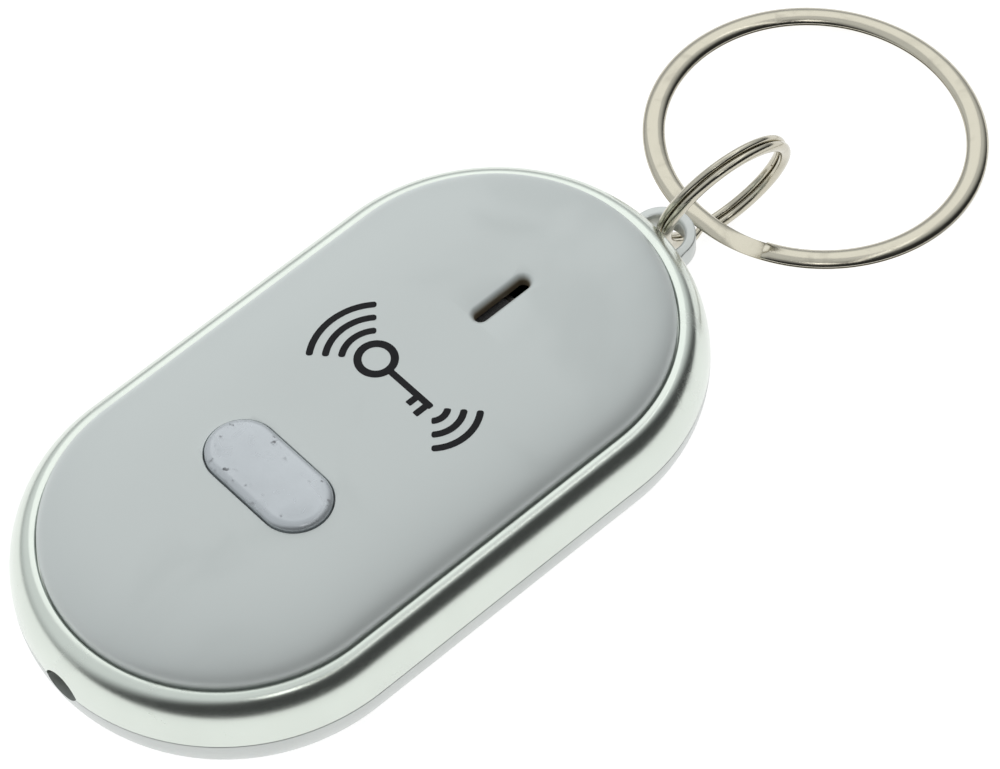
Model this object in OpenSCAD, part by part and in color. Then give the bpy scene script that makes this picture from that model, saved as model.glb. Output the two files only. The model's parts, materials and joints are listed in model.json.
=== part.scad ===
// Key-finder fob: an oval clap-and-whistle finder with a push button, a torch lamp and two split rings.
// The origin is the middle of the flat back face. +Y points at the key ring, +Z out of the front face.

/* [Body] */
// Width across the casing at the parting line
body_w = 32; // [30:0.5:39]
// Length of the casing at the parting line, without the lug
body_l = 57.2; // [55:0.2:69]
// Height of the parting line above the back face
seam_z = 5.6; // [5.6:0.1:7]
// Thickness of the casing walls
wall = 1.3; // [1.1:0.1:1.6]
// Thickness of the back floor
floor_t = 1.6; // [1.5:0.1:2]
// Radius that rounds the back into the sides
back_round = 5.5; // [4.8:0.1:5.6]
// How far the front casing leans in above the parting line
shoulder_w = 2; // [1.6:0.1:2.4]
// Height of the front casing above the parting line
shoulder_h = 3.85; // [3.5:0.05:4.8]
// How far the front casing's tongue reaches down inside the back shell
tongue_h = 0.9; // [0.6:0.1:0.9]
// Thickness of that tongue
tongue_t = 0.8; // [0.6:0.1:1]

/* [Face plate] */
// Distance from the side of the casing in to the edge of the plate
plate_inset = 2.375; // [2.2:0.025:2.8]
// Groove between the plate and the casing
plate_gap = 0.12; // [0.08:0.02:0.3]
// Height of the plate's straight edge above its ledge
plate_edge_h = 0.84; // [0.6:0.02:1.2]
// Rise of the crown above the plate's edge
crown = 1.9; // [1.2:0.1:2.4]
// Thickness of the plate
plate_t = 1; // [0.8:0.1:1.2]
// Width of the ledge that carries the plate
ledge_w = 2.4; // [2:0.1:3]
// Thickness of that ledge
ledge_t = 0.9; // [0.7:0.1:1.2]

/* [Button] */
// Length of the button across the fob
button_l = 11.2; // [9:0.1:14]
// Width of the button along the fob
button_w = 5.4; // [4.4:0.1:6.6]
// Distance from the lamp end to the middle of the button
button_from_end = 20.05; // [18:0.05:22]
// Height of the button above the crown of the plate
button_rise = 0.55; // [0.3:0.05:1]
// Clearance round the button in the plate
button_gap = 0.18; // [0.1:0.02:0.3]
// Width of the flange that keeps the button in
flange_w = 0.9; // [0.6:0.1:1.2]
// Travel of the button
travel = 0.4; // [0.2:0.05:0.5]

/* [Sound slot] */
// Length of the slot along the fob
slot_l = 6.2; // [4:0.1:8]
// Width of the slot
slot_w = 1.75; // [1:0.05:2.4]
// Distance from the ring end of the casing to the middle of the slot
slot_from_end = 14.74; // [12:0.02:17]

/* [Ring lug] */
// Diameter of the hole in the lug
lug_hole_d = 3.4; // [3:0.1:4]
// Wall round the hole
lug_wall = 0.85; // [0.7:0.05:1.2]
// Thickness of the lug
lug_t = 1.8; // [1.4:0.1:2]
// Distance from the top of the lug down from the parting line
lug_drop = 0.8; // [0.6:0.1:1]
// Distance from the end of the casing to the middle of the hole
lug_reach = 1.1; // [0.9:0.05:1.3]

/* [Lamp] */
// Diameter of the torch lamp
lamp_d = 3; // [2.8:0.1:3]
// Length of the torch lamp with its dome
lamp_l = 4.7; // [4:0.1:5.3]
// Width of the lens-shaped opening in front of the lamp
lamp_open_w = 3.3; // [2.6:0.1:3.6]
// Height of that opening
lamp_open_h = 2.2; // [1.6:0.1:2.4]

/* [Battery] */
// Diameter of one button cell
cell_d = 11.6; // [9.5:0.1:11.6]
// Thickness of one button cell
cell_t = 3.05; // [2.05:0.05:3.05]
// Clearance round the cells
cell_gap = 0.3; // [0.2:0.05:0.4]
// Thickness of the battery door
door_t = 1; // [0.8:0.05:1.1]
// Width of the seat that the door rests on
door_seat = 1.1; // [0.8:0.1:1.4]
// Thickness of the battery contacts
contact_t = 0.22; // [0.15:0.01:0.25]

/* [Electronics] */
// Thickness of the circuit board
board_t = 1; // [0.8:0.1:1.2]
// Gap between the board and the tongue of the front casing
board_gap = 1.8; // [1.4:0.1:2.4]
// Diameter of the sounder disc
disc_d = 16; // [14:0.5:16]
// Distance from the ring end of the casing to the middle of the sounder
disc_from_end = 16; // [15:0.1:17]
// Thickness of the sounder disc
disc_t = 0.2; // [0.1:0.05:0.3]
// Side of the square push switch
switch_w = 6; // [5:0.5:6.5]
// Diameter of the switch plunger
plunger_d = 3.4; // [3:0.1:3.5]
// Diameter of the microphone capsule
mic_d = 6; // [4:0.5:6]

/* [Screws] */
// Diameter of a case screw's thread
screw_d = 1.7; // [1.5:0.1:1.8]
// Diameter of a case screw's head
screw_head_d = 3.4; // [2.8:0.1:3.4]
// Diameter of a screw post
post_d = 4; // [3.6:0.1:4.4]
// Distance from the side of the casing in to a screw
screw_inset = 4.5; // [4.3:0.1:5]

/* [Split rings] */
// Outside diameter of the small split ring
small_ring_d = 12; // [11:0.5:13]
// Width of the small ring's wire, across the ring
small_wire_w = 0.9; // [0.7:0.05:1]
// Thickness of one turn of the small ring
small_wire_t = 0.64; // [0.5:0.02:0.7]
// Outside diameter of the large split ring
large_ring_d = 26.5; // [25:0.5:32]
// Width of the large ring's wire, across the ring
large_wire_w = 1.7; // [1.3:0.05:2]
// Thickness of one turn of the large ring
large_wire_t = 0.45; // [0.4:0.01:0.6]
// Lean of the small ring away from upright
small_lean = 14.5; // [8:0.5:20]
// Turn of the small ring away from the length of the fob
small_yaw = 6; // [0:0.5:8]
// Tilt of the large ring as it lies
large_tilt = 4.8; // [4:0.2:8]

/* [Hidden] */
$fn = 64;
eps = 0.01;

// Outline of the casing
half_w = body_w / 2;
half_l = body_l / 2;
spine = half_l - half_w;
back_flat = half_w - back_round;
inner_w = half_w - wall;
tongue_gap = 0.08;
tongue_out = inner_w - tongue_gap;
tongue_in = tongue_out - tongue_t;
tongue_z = seam_z - tongue_h;

// Face plate
plate_r = half_w - plate_inset;
ledge_z = seam_z + shoulder_h - 0.55;
ledge_in = plate_r - ledge_w;
plate_edge_z = ledge_z + plate_edge_h;
plate_top = plate_edge_z + crown;
plate_under = plate_top - plate_t;
rim_w = 1.2;

// Circuit board
board_z = tongue_z - 0.1;
board_top = board_z + board_t;
board_r = tongue_in - board_gap;
lead_r = 0.25;

// Sounder, seated in a round wall on the back floor at the ring end
disc_y = half_l - disc_from_end;
disc_wall = 0.75;
disc_room = 0.15;
seal_t = 0.4;
seal_z = floor_t;
disc_z = seal_z + seal_t;
ceramic_t = 0.2;
disc_wall_r = disc_d / 2 + disc_room + disc_wall;
disc_wall_h = seal_t + disc_t + ceramic_t + 0.4;

// Battery bay, against the sounder's wall
bay_wall = 0.9;
bay_w = cell_d + 2 * cell_gap;
cell_pitch = cell_d + cell_gap;
cell_b_y = disc_y - disc_wall_r - bay_wall - cell_gap - cell_d / 2;
cell_a_y = cell_b_y - cell_pitch;
bay_y = (cell_a_y + cell_b_y) / 2;
bay_l = bay_w + cell_pitch;
bay_top = board_z - 0.3;
door_gap = 0.1;
cell_z = board_z - contact_t - 0.04 - cell_t;
door_w = bay_w + 2 * door_seat;
door_l = bay_l + 2 * door_seat;
door_screw_x = bay_w / 2 - 0.9;
door_boss_r = 1.7;
door_screw_r = 0.72;
door_head_r = 1.4;
door_head_h = 0.5;

// Button and switch
button_y = -half_l + button_from_end;
switch_base_h = 3.1;
switch_cover_t = 0.3;
switch_top = board_top + switch_base_h + switch_cover_t;
plunger_top = plate_under - 0.72;
plunger_rest = switch_top - 1.3;
plunger_fit = 0.1;
cap_under = plunger_top + 0.02;
flange_top = plate_under - 0.19;
cap_top = plate_top + button_rise;

// Step-up coil, between the lamp and the button
boost_x = -board_r * 0.55;
boost_y = button_y - 6.8;
boost_r = 2.3;
boost_h = 2.6;
boost_cheek = 0.5;

// Microphone under the slot
slot_y = half_l - slot_from_end;
mic_y = slot_y - slot_l / 4;
mic_top = plate_under - 0.5;
felt_t = 0.25;

// Lamp
lamp_z = board_top + lead_r;
lamp_tip_y = -half_l + wall;
lamp_back_y = lamp_tip_y + lamp_l;
lamp_flange_t = 1;
lamp_room = 0.2;
lead_x = 1.27;
lead_l = 3.6;
board_start = lamp_back_y + 1.4;

// Case screws, at the four corners of the straight sides
screw_x = half_w - screw_inset;
screw_y = spine + 0.2;
post_room = 0.15;
collar_r = post_d / 2 + 0.8;
post_top = seam_z - 0.1;
screw_head_h = 1.1;
screw_sink = 2;
screw_tip_z = ledge_z - ledge_t - 0.2;
boss_top = ledge_z - eps;

// Lug
lug_y = half_l + lug_reach;
lug_r = lug_hole_d / 2 + lug_wall;
lug_z = seam_z - lug_drop - lug_t;
lug_bite = wall - 0.3;
lug_root = half_l - lug_bite;
lug_flare = 1.7;

// Split rings
turn_gap = 0.04;
small_mid_r = (small_ring_d - small_wire_w) / 2;
small_h = 2 * small_wire_t + turn_gap;
small_z = small_ring_d / 2 * cos(small_lean) + small_h / 2 * sin(small_lean) + 0.02;
small_x = 1.1;
small_slack = 0.2;
small_y = lug_y + small_mid_r * cos(small_yaw) - small_slack;
large_mid_r = (large_ring_d - large_wire_w) / 2;
large_h = 2 * large_wire_t + turn_gap;
large_z = large_ring_d / 2 * sin(large_tilt) + large_h / 2 * cos(large_tilt) + 0.02;
large_x = -0.36;
large_bite = 2.03;
large_y = small_y - large_bite + large_ring_d / 2 * cos(large_tilt);

// A profile drawn in the half plane x > 0, carried round the oval whose straight sides are 2 * half long
module oval_sweep(half) {
    for (turn = [0, 180]) {
        rotate([0, 0, turn]) {
            translate([0, half, 0]) rotate_extrude(angle = 180) children();
            rotate([90, 0, 0]) translate([0, 0, -half]) linear_extrude(2 * half) children();
        }
    }
}

// An oval with round ends, w across and l along Y
module oval(w, l) {
    square([w, l - w], center = true);
    for (s = [-1, 1]) translate([0, s * (l - w) / 2]) circle(d = w);
}

module oval_plate(w, l, h) {
    linear_extrude(h) oval(w, l);
}

module at_screws() {
    for (sx = [-1, 1], sy = [-1, 1]) translate([sx * screw_x, sy * screw_y, 0]) children();
}

// Points of a crown that is flat in the middle and falls to its edge at radius r
function crown_points(r, h, z, steps = 12) =
    [for (i = [0:steps]) [r * pow(cos(90 * i / steps), 0.5), z + h * sin(90 * i / steps)]];

// The lens-shaped outline of the lamp opening
module lens_outline(w, h) {
    lens_r = (w * w + h * h) / (4 * h);
    intersection_for (s = [-1, 1]) translate([0, s * (lens_r - h / 2)]) circle(r = lens_r);
}

// A straight stretch along Y, from y0 for a length l, at height z
module along_y(y0, z, l) {
    translate([0, y0, z]) rotate([-90, 0, 0]) linear_extrude(l) children();
}

module lamp_opening() {
    along_y(-half_l - 1, lamp_z, wall + 1.05) lens_outline(lamp_open_w, lamp_open_h);
    along_y(lamp_tip_y - 0.1, lamp_z, 4) circle(d = lamp_d + 2 * lamp_room);
}

// ---- casing ----

module back_outer() {
    intersection() {
        union() {
            translate([back_flat, back_round]) circle(r = back_round);
            square([back_flat, seam_z]);
            translate([0, back_round]) square([half_w, seam_z - back_round + eps]);
        }
        square([half_w, seam_z]);
    }
}

module back_inner() {
    intersection() {
        union() {
            translate([back_flat, back_round]) circle(r = back_round - wall);
            square([back_flat, seam_z + 1]);
            translate([0, back_round]) square([inner_w, seam_z]);
        }
        translate([0, floor_t]) square([half_w, seam_z]);
    }
    translate([0, tongue_z - 0.05]) square([inner_w, seam_z]);
}

module lug() {
    translate([0, 0, lug_z]) linear_extrude(lug_t) difference() {
        union() {
            translate([0, lug_y]) circle(r = lug_r);
            polygon([
                [-lug_r - lug_flare, lug_root], [lug_r + lug_flare, lug_root],
                [lug_r + lug_flare * 0.3, half_l + 0.1], [lug_r, lug_y],
                [-lug_r, lug_y], [-lug_r - lug_flare * 0.3, half_l + 0.1]
            ]);
        }
        translate([0, lug_y]) circle(d = lug_hole_d);
        oval(2 * (half_w - lug_bite), 2 * (half_l - lug_bite));
    }
}

module back_shell_walls() {
    oval_sweep(spine) difference() {
        back_outer();
        back_inner();
    }
}

// Everything that stands on the inside of the back floor
module back_fittings() {
    at_screws() {
        translate([0, 0, floor_t - eps]) cylinder(r = collar_r, h = board_z - floor_t + eps);
        cylinder(d = post_d, h = post_top);
    }
    translate([0, bay_y, floor_t - eps]) oval_plate(bay_w + 2 * bay_wall, bay_l + 2 * bay_wall, bay_top - floor_t);
    translate([0, disc_y, floor_t - eps]) cylinder(r = disc_wall_r, h = disc_wall_h);
}

module sound_holes() {
    hole_d = 1.2;
    circle_r = 3.2;
    translate([0, disc_y, -1]) {
        cylinder(d = hole_d, h = floor_t + 2);
        for (i = [0:5]) rotate([0, 0, 60 * i]) translate([circle_r, 0, 0]) cylinder(d = hole_d, h = floor_t + 2);
    }
}

module back_shell() {
    color("silver") {
        difference() {
            union() {
                back_shell_walls();
                intersection() {
                    back_fittings();
                    oval_sweep(spine) back_outer();
                }
            }
            translate([0, bay_y, door_t + 0.02]) oval_plate(bay_w, bay_l, seam_z);
            translate([0, bay_y, -1]) oval_plate(door_w + 2 * door_gap, door_l + 2 * door_gap, door_t + 1.02);
            translate([0, disc_y, floor_t]) cylinder(r = disc_wall_r - disc_wall, h = seam_z);
            at_screws() {
                translate([0, 0, -1]) cylinder(d = screw_d + 0.4, h = seam_z + 2);
                translate([0, 0, -1]) cylinder(d = screw_head_d + 0.3, h = screw_sink + 1);
            }
            sound_holes();
            lamp_opening();
        }
        lug();
        difference() {
            intersection() {
                translate([door_screw_x, bay_y, door_t + 0.02])
                    cylinder(r = door_boss_r, h = bay_top - door_t - 0.1);
                translate([0, bay_y, 0]) oval_plate(bay_w + bay_wall, bay_l, seam_z);
            }
            translate([door_screw_x, bay_y, 0]) cylinder(r = door_screw_r + 0.03, h = bay_top - 0.6);
        }
    }
}

// Outer line of the front casing, from the parting line up to the crest beside the groove
function shoulder_points() =
    [for (a = [0:6:90]) [half_w - shoulder_w * (1 - cos(a)), seam_z + shoulder_h * sin(a)]];

module front_profile() {
    groove_x = plate_r + plate_gap;
    polygon(concat(shoulder_points(), [
        [groove_x, seam_z + shoulder_h - 0.06],
        [groove_x, ledge_z],
        [ledge_in, ledge_z],
        [ledge_in, ledge_z - ledge_t],
        [tongue_in - 0.8, ledge_z - ledge_t],
        [tongue_in, ledge_z - ledge_t - 0.8],
        [tongue_in, tongue_z],
        [tongue_out, tongue_z],
        [tongue_out, seam_z]
    ]));
}

module front_shell() {
    color("gainsboro") difference() {
        union() {
            oval_sweep(spine) front_profile();
            intersection() {
                at_screws() translate([0, 0, seam_z]) cylinder(d = post_d + 0.2, h = boss_top - seam_z);
                oval_sweep(spine) square([tongue_out, ledge_z]);
            }
        }
        at_screws() translate([0, 0, seam_z - 1]) cylinder(d = screw_d + 0.06, h = screw_tip_z - seam_z + 1.1);
        lamp_opening();
    }
}

module face_plate() {
    inner_r = plate_r - rim_w;
    color("lightgray") difference() {
        oval_sweep(spine) difference() {
            polygon(concat([[0, ledge_z], [plate_r, ledge_z]], crown_points(plate_r, crown, plate_edge_z)));
            polygon(concat(
                [[0, ledge_z - 1], [inner_r, ledge_z - 1]],
                crown_points(inner_r, crown, plate_edge_z - plate_t)
            ));
        }
        translate([0, button_y, ledge_z]) rotate([0, 0, 90])
            oval_plate(button_w + 2 * button_gap, button_l + 2 * button_gap, crown + 4);
        translate([0, slot_y, ledge_z]) oval_plate(slot_w, slot_l, crown + 4);
    }
}

module button_cap() {
    cap_half = (button_l - button_w) / 2;
    cap_crown = 0.5;
    color("whitesmoke") translate([0, button_y, 0]) rotate([0, 0, 90]) {
        oval_sweep(cap_half) polygon(concat(
            [[0, cap_under], [button_w / 2, cap_under]],
            crown_points(button_w / 2, cap_crown, cap_top - cap_crown)
        ));
        translate([0, 0, cap_under]) oval_plate(
            button_w + 2 * flange_w, button_l + 2 * flange_w, flange_top - cap_under);
    }
}

module battery_door() {
    color("silver") difference() {
        translate([0, bay_y, 0]) oval_plate(door_w, door_l, door_t);
        translate([door_screw_x, bay_y, -1]) {
            cylinder(r = door_screw_r + 0.2, h = door_t + 2);
            cylinder(r = door_head_r + 0.15, h = door_head_h + 1.1);
        }
    }
}

// A countersunk-style screw with a cross recess, head down
module screw(head_r, head_h, shank_r, length) {
    difference() {
        union() {
            cylinder(r = head_r, h = head_h);
            cylinder(r = shank_r, h = length);
        }
        for (a = [0, 90]) rotate([0, 0, a])
            translate([-head_r * 0.6, -head_r * 0.14, -1]) cube([head_r * 1.2, head_r * 0.28, 1 + head_h / 2]);
    }
}

module door_screw() {
    color("dimgray") translate([door_screw_x, bay_y, 0.08])
        screw(door_head_r, door_head_h, door_screw_r, bay_top - 0.9);
}

module case_screws() {
    color("dimgray") at_screws() translate([0, 0, screw_sink - screw_head_h])
        screw(screw_head_d / 2, screw_head_h, screw_d / 2, screw_tip_z - screw_sink + screw_head_h);
}

// ---- electronics ----

module circuit_board() {
    color("seagreen") translate([0, 0, board_z]) linear_extrude(board_t) difference() {
        intersection() {
            oval(2 * board_r, 2 * (spine + board_r));
            translate([-half_w, board_start]) square([body_w, body_l]);
        }
        at_screws() circle(r = post_d / 2 + post_room);
    }
}

module controller_chip() {
    blob_r = 3.4;
    blob_h = 1.1;
    ball_r = (blob_r * blob_r + blob_h * blob_h) / (2 * blob_h);
    color("black") translate([0, (button_y + mic_y) / 2, board_top]) intersection() {
        translate([0, 0, blob_h - ball_r]) sphere(r = ball_r);
        cylinder(r = blob_r, h = blob_h + 1);
    }
}

module on_switch(z) {
    translate([0, button_y, z]) children();
}

module switch_base() {
    color("black") on_switch(board_top) difference() {
        translate([-switch_w / 2, -switch_w / 2, 0]) cube([switch_w, switch_w, switch_base_h]);
        translate([0, 0, plunger_rest - board_top - travel - 0.2])
            cylinder(d = plunger_d + 2 * plunger_fit, h = switch_base_h + 1);
    }
}

module switch_cover() {
    color("silver") on_switch(switch_top - switch_cover_t) difference() {
        translate([-switch_w / 2, -switch_w / 2, 0]) cube([switch_w, switch_w, switch_cover_t]);
        translate([0, 0, -1]) cylinder(d = plunger_d + 2 * plunger_fit, h = switch_cover_t + 2);
    }
}

module switch_legs() {
    leg_w = 0.7;
    leg_l = 1.1;
    leg_t = 0.2;
    color("silver") on_switch(board_top) for (sx = [-1, 1], sy = [-1, 1]) {
        translate([sx * (switch_w + leg_l) / 2 - leg_l / 2, sy * 2.2 - leg_w / 2, 0]) cube([leg_l, leg_w, leg_t]);
        translate([sx * (switch_w + leg_t) / 2 - leg_t / 2, sy * 2.2 - leg_w / 2, 0]) cube([leg_t, leg_w, 1.4]);
    }
}

module switch_plunger() {
    color("white") on_switch(plunger_rest) cylinder(d = plunger_d, h = plunger_top - plunger_rest);
}

module microphone_capsule() {
    groove = 0.15;
    color("silver") translate([0, mic_y, board_top]) difference() {
        cylinder(d = mic_d, h = mic_top - board_top);
        translate([0, 0, 0.6]) difference() {
            cylinder(d = mic_d + 1, h = 0.3);
            cylinder(d = mic_d - 2 * groove, h = 0.3);
        }
    }
}

module microphone_felt() {
    color("black") translate([0, mic_y, mic_top]) cylinder(d = mic_d * 0.76, h = felt_t);
}

module torch_lamp() {
    r = lamp_d / 2;
    color("lightyellow") {
        translate([0, lamp_tip_y + r, lamp_z]) sphere(r = r);
        along_y(lamp_tip_y + r, lamp_z, lamp_l - r) circle(r = r);
        along_y(lamp_back_y - lamp_flange_t, lamp_z, lamp_flange_t) circle(r = r + 0.3);
    }
}

module torch_leads() {
    color("silver") for (s = [-1, 1]) translate([s * lead_x, 0, 0])
        along_y(lamp_back_y, lamp_z, lead_l) circle(r = lead_r);
}

module boost_core() {
    color("dimgray") translate([boost_x, boost_y, board_top]) {
        cylinder(r = boost_r, h = boost_cheek);
        cylinder(r = boost_r * 0.45, h = boost_h);
        translate([0, 0, boost_h - boost_cheek]) cylinder(r = boost_r, h = boost_cheek);
    }
}

module boost_winding() {
    color("peru") translate([boost_x, boost_y, board_top + boost_cheek]) difference() {
        cylinder(r = boost_r * 0.86, h = boost_h - 2 * boost_cheek);
        translate([0, 0, -1]) cylinder(r = boost_r * 0.45, h = boost_h + 2);
    }
}

module transistor() {
    color("black") translate([board_r * 0.5, boost_y, board_top]) {
        translate([-1.45, -0.65, 0.1]) cube([2.9, 1.3, 1]);
        for (leg = [[-0.95, -1], [0.95, -1], [0, 1]])
            translate([leg[0] - 0.2, leg[1] * 0.85 - 0.35, 0]) cube([0.4, 0.7, 0.2]);
    }
}

// A row of equal chip parts along Y, length along X
module chip_row(x, y, count, size) {
    pitch = 1.7;
    for (i = [0:count - 1])
        translate([x - size[0] / 2, y + i * pitch - size[1] / 2, board_top]) cube(size);
}

module resistors() {
    color("black") {
        chip_row(-board_r * 0.6, button_y + 4, 4, [1.6, 0.8, 0.45]);
        chip_row(board_r * 0.6, mic_y - 2, 2, [1.6, 0.8, 0.45]);
    }
}

module capacitors() {
    color("tan") {
        chip_row(board_r * 0.6, button_y + 4, 3, [1.6, 0.8, 0.8]);
        chip_row(-board_r * 0.6, mic_y - 1, 2, [1.6, 0.8, 0.8]);
    }
}

// ---- sounder ----

module sounder_seal() {
    color("dimgray") translate([0, disc_y, seal_z]) difference() {
        cylinder(d = disc_d, h = seal_t);
        translate([0, 0, -1]) cylinder(d = disc_d - 3, h = seal_t + 2);
    }
}

module sounder_disc() {
    color("gold") translate([0, disc_y, disc_z]) cylinder(d = disc_d, h = disc_t);
}

module sounder_ceramic() {
    color("white") translate([0, disc_y, disc_z + disc_t]) cylinder(d = disc_d * 0.68, h = ceramic_t);
}

module sounder_wires() {
    brass_z = disc_z + disc_t;
    ceramic_z = brass_z + ceramic_t;
    color("red") {
        translate([1.5, disc_y - 2, ceramic_z]) cylinder(r = lead_r, h = board_z - ceramic_z);
        translate([1.5, disc_y - 2, ceramic_z]) cylinder(r = 2 * lead_r, h = 0.3);
        translate([0, disc_y - disc_d * 0.42, brass_z]) cylinder(r = lead_r, h = board_z - brass_z);
        translate([0, disc_y - disc_d * 0.42, brass_z]) cylinder(r = 2 * lead_r, h = 0.3);
    }
}

// ---- battery ----

// A button cell: a wide can with the smaller cap on top
module button_cell(y) {
    cap_step = 0.35;
    translate([0, y, cell_z]) {
        cylinder(d = cell_d, h = cell_t - cap_step);
        cylinder(d = cell_d * 0.82, h = cell_t);
    }
}

module battery_cell_a() {
    color("silver") button_cell(cell_a_y);
}

module battery_cell_b() {
    color("silver") button_cell(cell_b_y);
}

// A leaf contact on the underside of the board, above one cell
module leaf_contact(y) {
    translate([-2.5, y - 1.6, board_z - contact_t]) cube([5, 3.2, contact_t]);
}

module contact_positive() {
    color("goldenrod") leaf_contact(cell_a_y);
}

module contact_negative() {
    color("goldenrod") leaf_contact(cell_b_y);
}

module contact_bridge() {
    bridge_w = 4;
    color("goldenrod") translate([-bridge_w / 2, cell_a_y, door_t]) cube([bridge_w, cell_pitch, cell_z - door_t - 0.02]);
}

// ---- split rings ----

// Level of the wire, 1 on the first turn and 0 on the second, with a smooth step between them
function turn_level(t, step_at, step_w) =
    t < step_at ? 1 : t > step_at + step_w ? 0 : 0.5 + 0.5 * cos(180 * (t - step_at) / step_w);

// A flat wire wound two turns. The first turn starts at angle start; each turn ends short of the step.
module split_ring(mid_r, wire_w, wire_t, start) {
    step_at = 330;
    step_w = 26;
    sweep = 360 + step_at;
    pieces = 92;
    cut = min(wire_w, wire_t) * 0.28;
    a = wire_w / 2;
    b = wire_t / 2;
    section = [
        [a, -b + cut], [a, b - cut], [a - cut, b], [-a + cut, b],
        [-a, b - cut], [-a, -b + cut], [-a + cut, -b], [a - cut, -b]
    ];
    sides = len(section);
    points = [
        for (i = [0:pieces])
            let (t = sweep * i / pieces, z = (turn_level(t, step_at, step_w) - 0.5) * (wire_t + turn_gap))
                for (p = section) [(mid_r + p[0]) * cos(start + t), (mid_r + p[0]) * sin(start + t), z + p[1]]
    ];
    side_faces = [
        for (i = [0:pieces - 1], j = [0:sides - 1])
            let (k = (j + 1) % sides)
                for (f = [[j, k, k + sides], [j, k + sides, j + sides]]) [for (n = f) n + i * sides]
    ];
    end_faces = [[for (j = [sides - 1:-1:0]) j], [for (j = [0:sides - 1]) pieces * sides + j]];
    polyhedron(points, concat(side_faces, end_faces));
}

module small_split_ring() {
    color("silver") translate([small_x, small_y, small_z]) rotate([0, 0, -small_yaw]) rotate([0, small_lean - 90, 0])
        split_ring(small_mid_r, small_wire_w, small_wire_t, 222);
}

module large_split_ring() {
    color("silver") translate([large_x, large_y, large_z]) rotate([-large_tilt, 0, 0])
        split_ring(large_mid_r, large_wire_w, large_wire_t, -63);
}

back_shell();
front_shell();
face_plate();
button_cap();
battery_door();
door_screw();
case_screws();
circuit_board();
controller_chip();
switch_base();
switch_cover();
switch_legs();
switch_plunger();
microphone_capsule();
microphone_felt();
torch_lamp();
torch_leads();
boost_core();
boost_winding();
transistor();
resistors();
capacitors();
sounder_seal();
sounder_disc();
sounder_ceramic();
sounder_wires();
battery_cell_a();
battery_cell_b();
contact_positive();
contact_negative();
contact_bridge();
small_split_ring();
large_split_ring();
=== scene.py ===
"""Key finder fob: casings, face plate, button, lamp, split rings and inner parts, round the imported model."""

import json
import math
from collections import namedtuple

import bmesh
import bpy
from bpy.props import FloatProperty, FloatVectorProperty, IntProperty
from mathutils import Matrix, Vector

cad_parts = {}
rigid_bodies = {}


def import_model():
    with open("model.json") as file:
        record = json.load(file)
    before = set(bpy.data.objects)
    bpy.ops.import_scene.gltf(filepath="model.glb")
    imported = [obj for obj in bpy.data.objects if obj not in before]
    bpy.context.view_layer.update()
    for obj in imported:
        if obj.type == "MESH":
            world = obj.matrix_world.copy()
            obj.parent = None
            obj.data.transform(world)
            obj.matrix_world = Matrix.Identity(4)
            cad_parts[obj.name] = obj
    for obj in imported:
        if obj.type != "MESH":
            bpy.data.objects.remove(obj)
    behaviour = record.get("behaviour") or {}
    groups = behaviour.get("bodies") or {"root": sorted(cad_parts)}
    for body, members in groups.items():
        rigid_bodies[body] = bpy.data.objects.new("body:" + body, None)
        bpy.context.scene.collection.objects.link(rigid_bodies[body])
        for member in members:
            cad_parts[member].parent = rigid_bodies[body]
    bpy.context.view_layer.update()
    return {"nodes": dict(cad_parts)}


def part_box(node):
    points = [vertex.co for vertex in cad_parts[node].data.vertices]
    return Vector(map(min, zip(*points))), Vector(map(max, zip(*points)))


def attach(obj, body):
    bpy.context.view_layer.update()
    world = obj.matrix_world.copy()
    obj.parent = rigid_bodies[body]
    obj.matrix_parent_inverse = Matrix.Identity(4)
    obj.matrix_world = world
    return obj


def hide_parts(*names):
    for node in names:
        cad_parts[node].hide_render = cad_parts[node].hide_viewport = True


for leftover in list(bpy.data.objects):
    bpy.data.objects.remove(leftover)
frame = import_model()

bl_info = {
    "name": "Key finder fob",
    "version": (1, 0, 0),
    "blender": (4, 5, 0),
    "location": "View3D > Sidebar > Key fob",
    "description": "Builds the casings, face plate, button, split rings and inner parts of a key finder fob",
    "category": "Add Mesh",
}

# Meshes are worked on in millimetres and brought to metres when a piece is finished.
MILLI = 0.001
MERGE = 1e-4
# A frame node's loose triangles are merged over this distance, and joined where they bend less than this.
NODE_MERGE = 0.001
FLAT = math.radians(1)
UP = Vector((0, 0, 1))
FULL_TURN = math.tau
HALF_TURN = math.pi


def mm(length):
    """A length in metres, in millimetres."""
    return length / MILLI


class NodeBox:
    """The box round a frame node, in millimetres."""

    def __init__(self, node):
        low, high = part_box(node)
        self.low, self.high = low / MILLI, high / MILLI
        pairs = list(zip(self.low, self.high))
        self.mid = Corner(*[(a + b) / 2 for a, b in pairs])
        self.size = Corner(*[b - a for a, b in pairs])


Corner = namedtuple("Corner", "x y z")
BACK = NodeBox("back_shell")
FRONT = NodeBox("front_shell")
PLATE = NodeBox("face_plate")
CAP = NodeBox("button_cap")
DOOR = NodeBox("battery_door")
DOOR_SCREW = NodeBox("door_screw")
CASE_SCREW = NodeBox("case_screws")
LAMP = NodeBox("torch_lamp")
CAPSULE = NodeBox("microphone_capsule")
FELT = NodeBox("microphone_felt")
DISC = NodeBox("sounder_disc")

HALF_W = FRONT.high.x
HALF_L = FRONT.high.y
SPINE = HALF_L - HALF_W
SEAM_Z = BACK.high.z
PLATE_R = PLATE.high.x
LEDGE_Z = PLATE.low.z
BUTTON_Y = CAP.mid.y
DOOR_Y = DOOR.mid.y
DISC_Y = DISC.mid.y


# Turns of a standing shape: across the fob, and laid down along it with its top toward the lamp end or away.
ACROSS = Matrix.Rotation(math.pi / 2, 4, "Z")
LAID_OUT = Matrix.Rotation(math.pi / 2, 4, "X")
LAID_IN = Matrix.Rotation(-math.pi / 2, 4, "X")


def at(x, y, z=0.0):
    """A move to a place."""
    return Matrix.Translation((x, y, z))


# ---- sizes and finishes that a user would change ----


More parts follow.
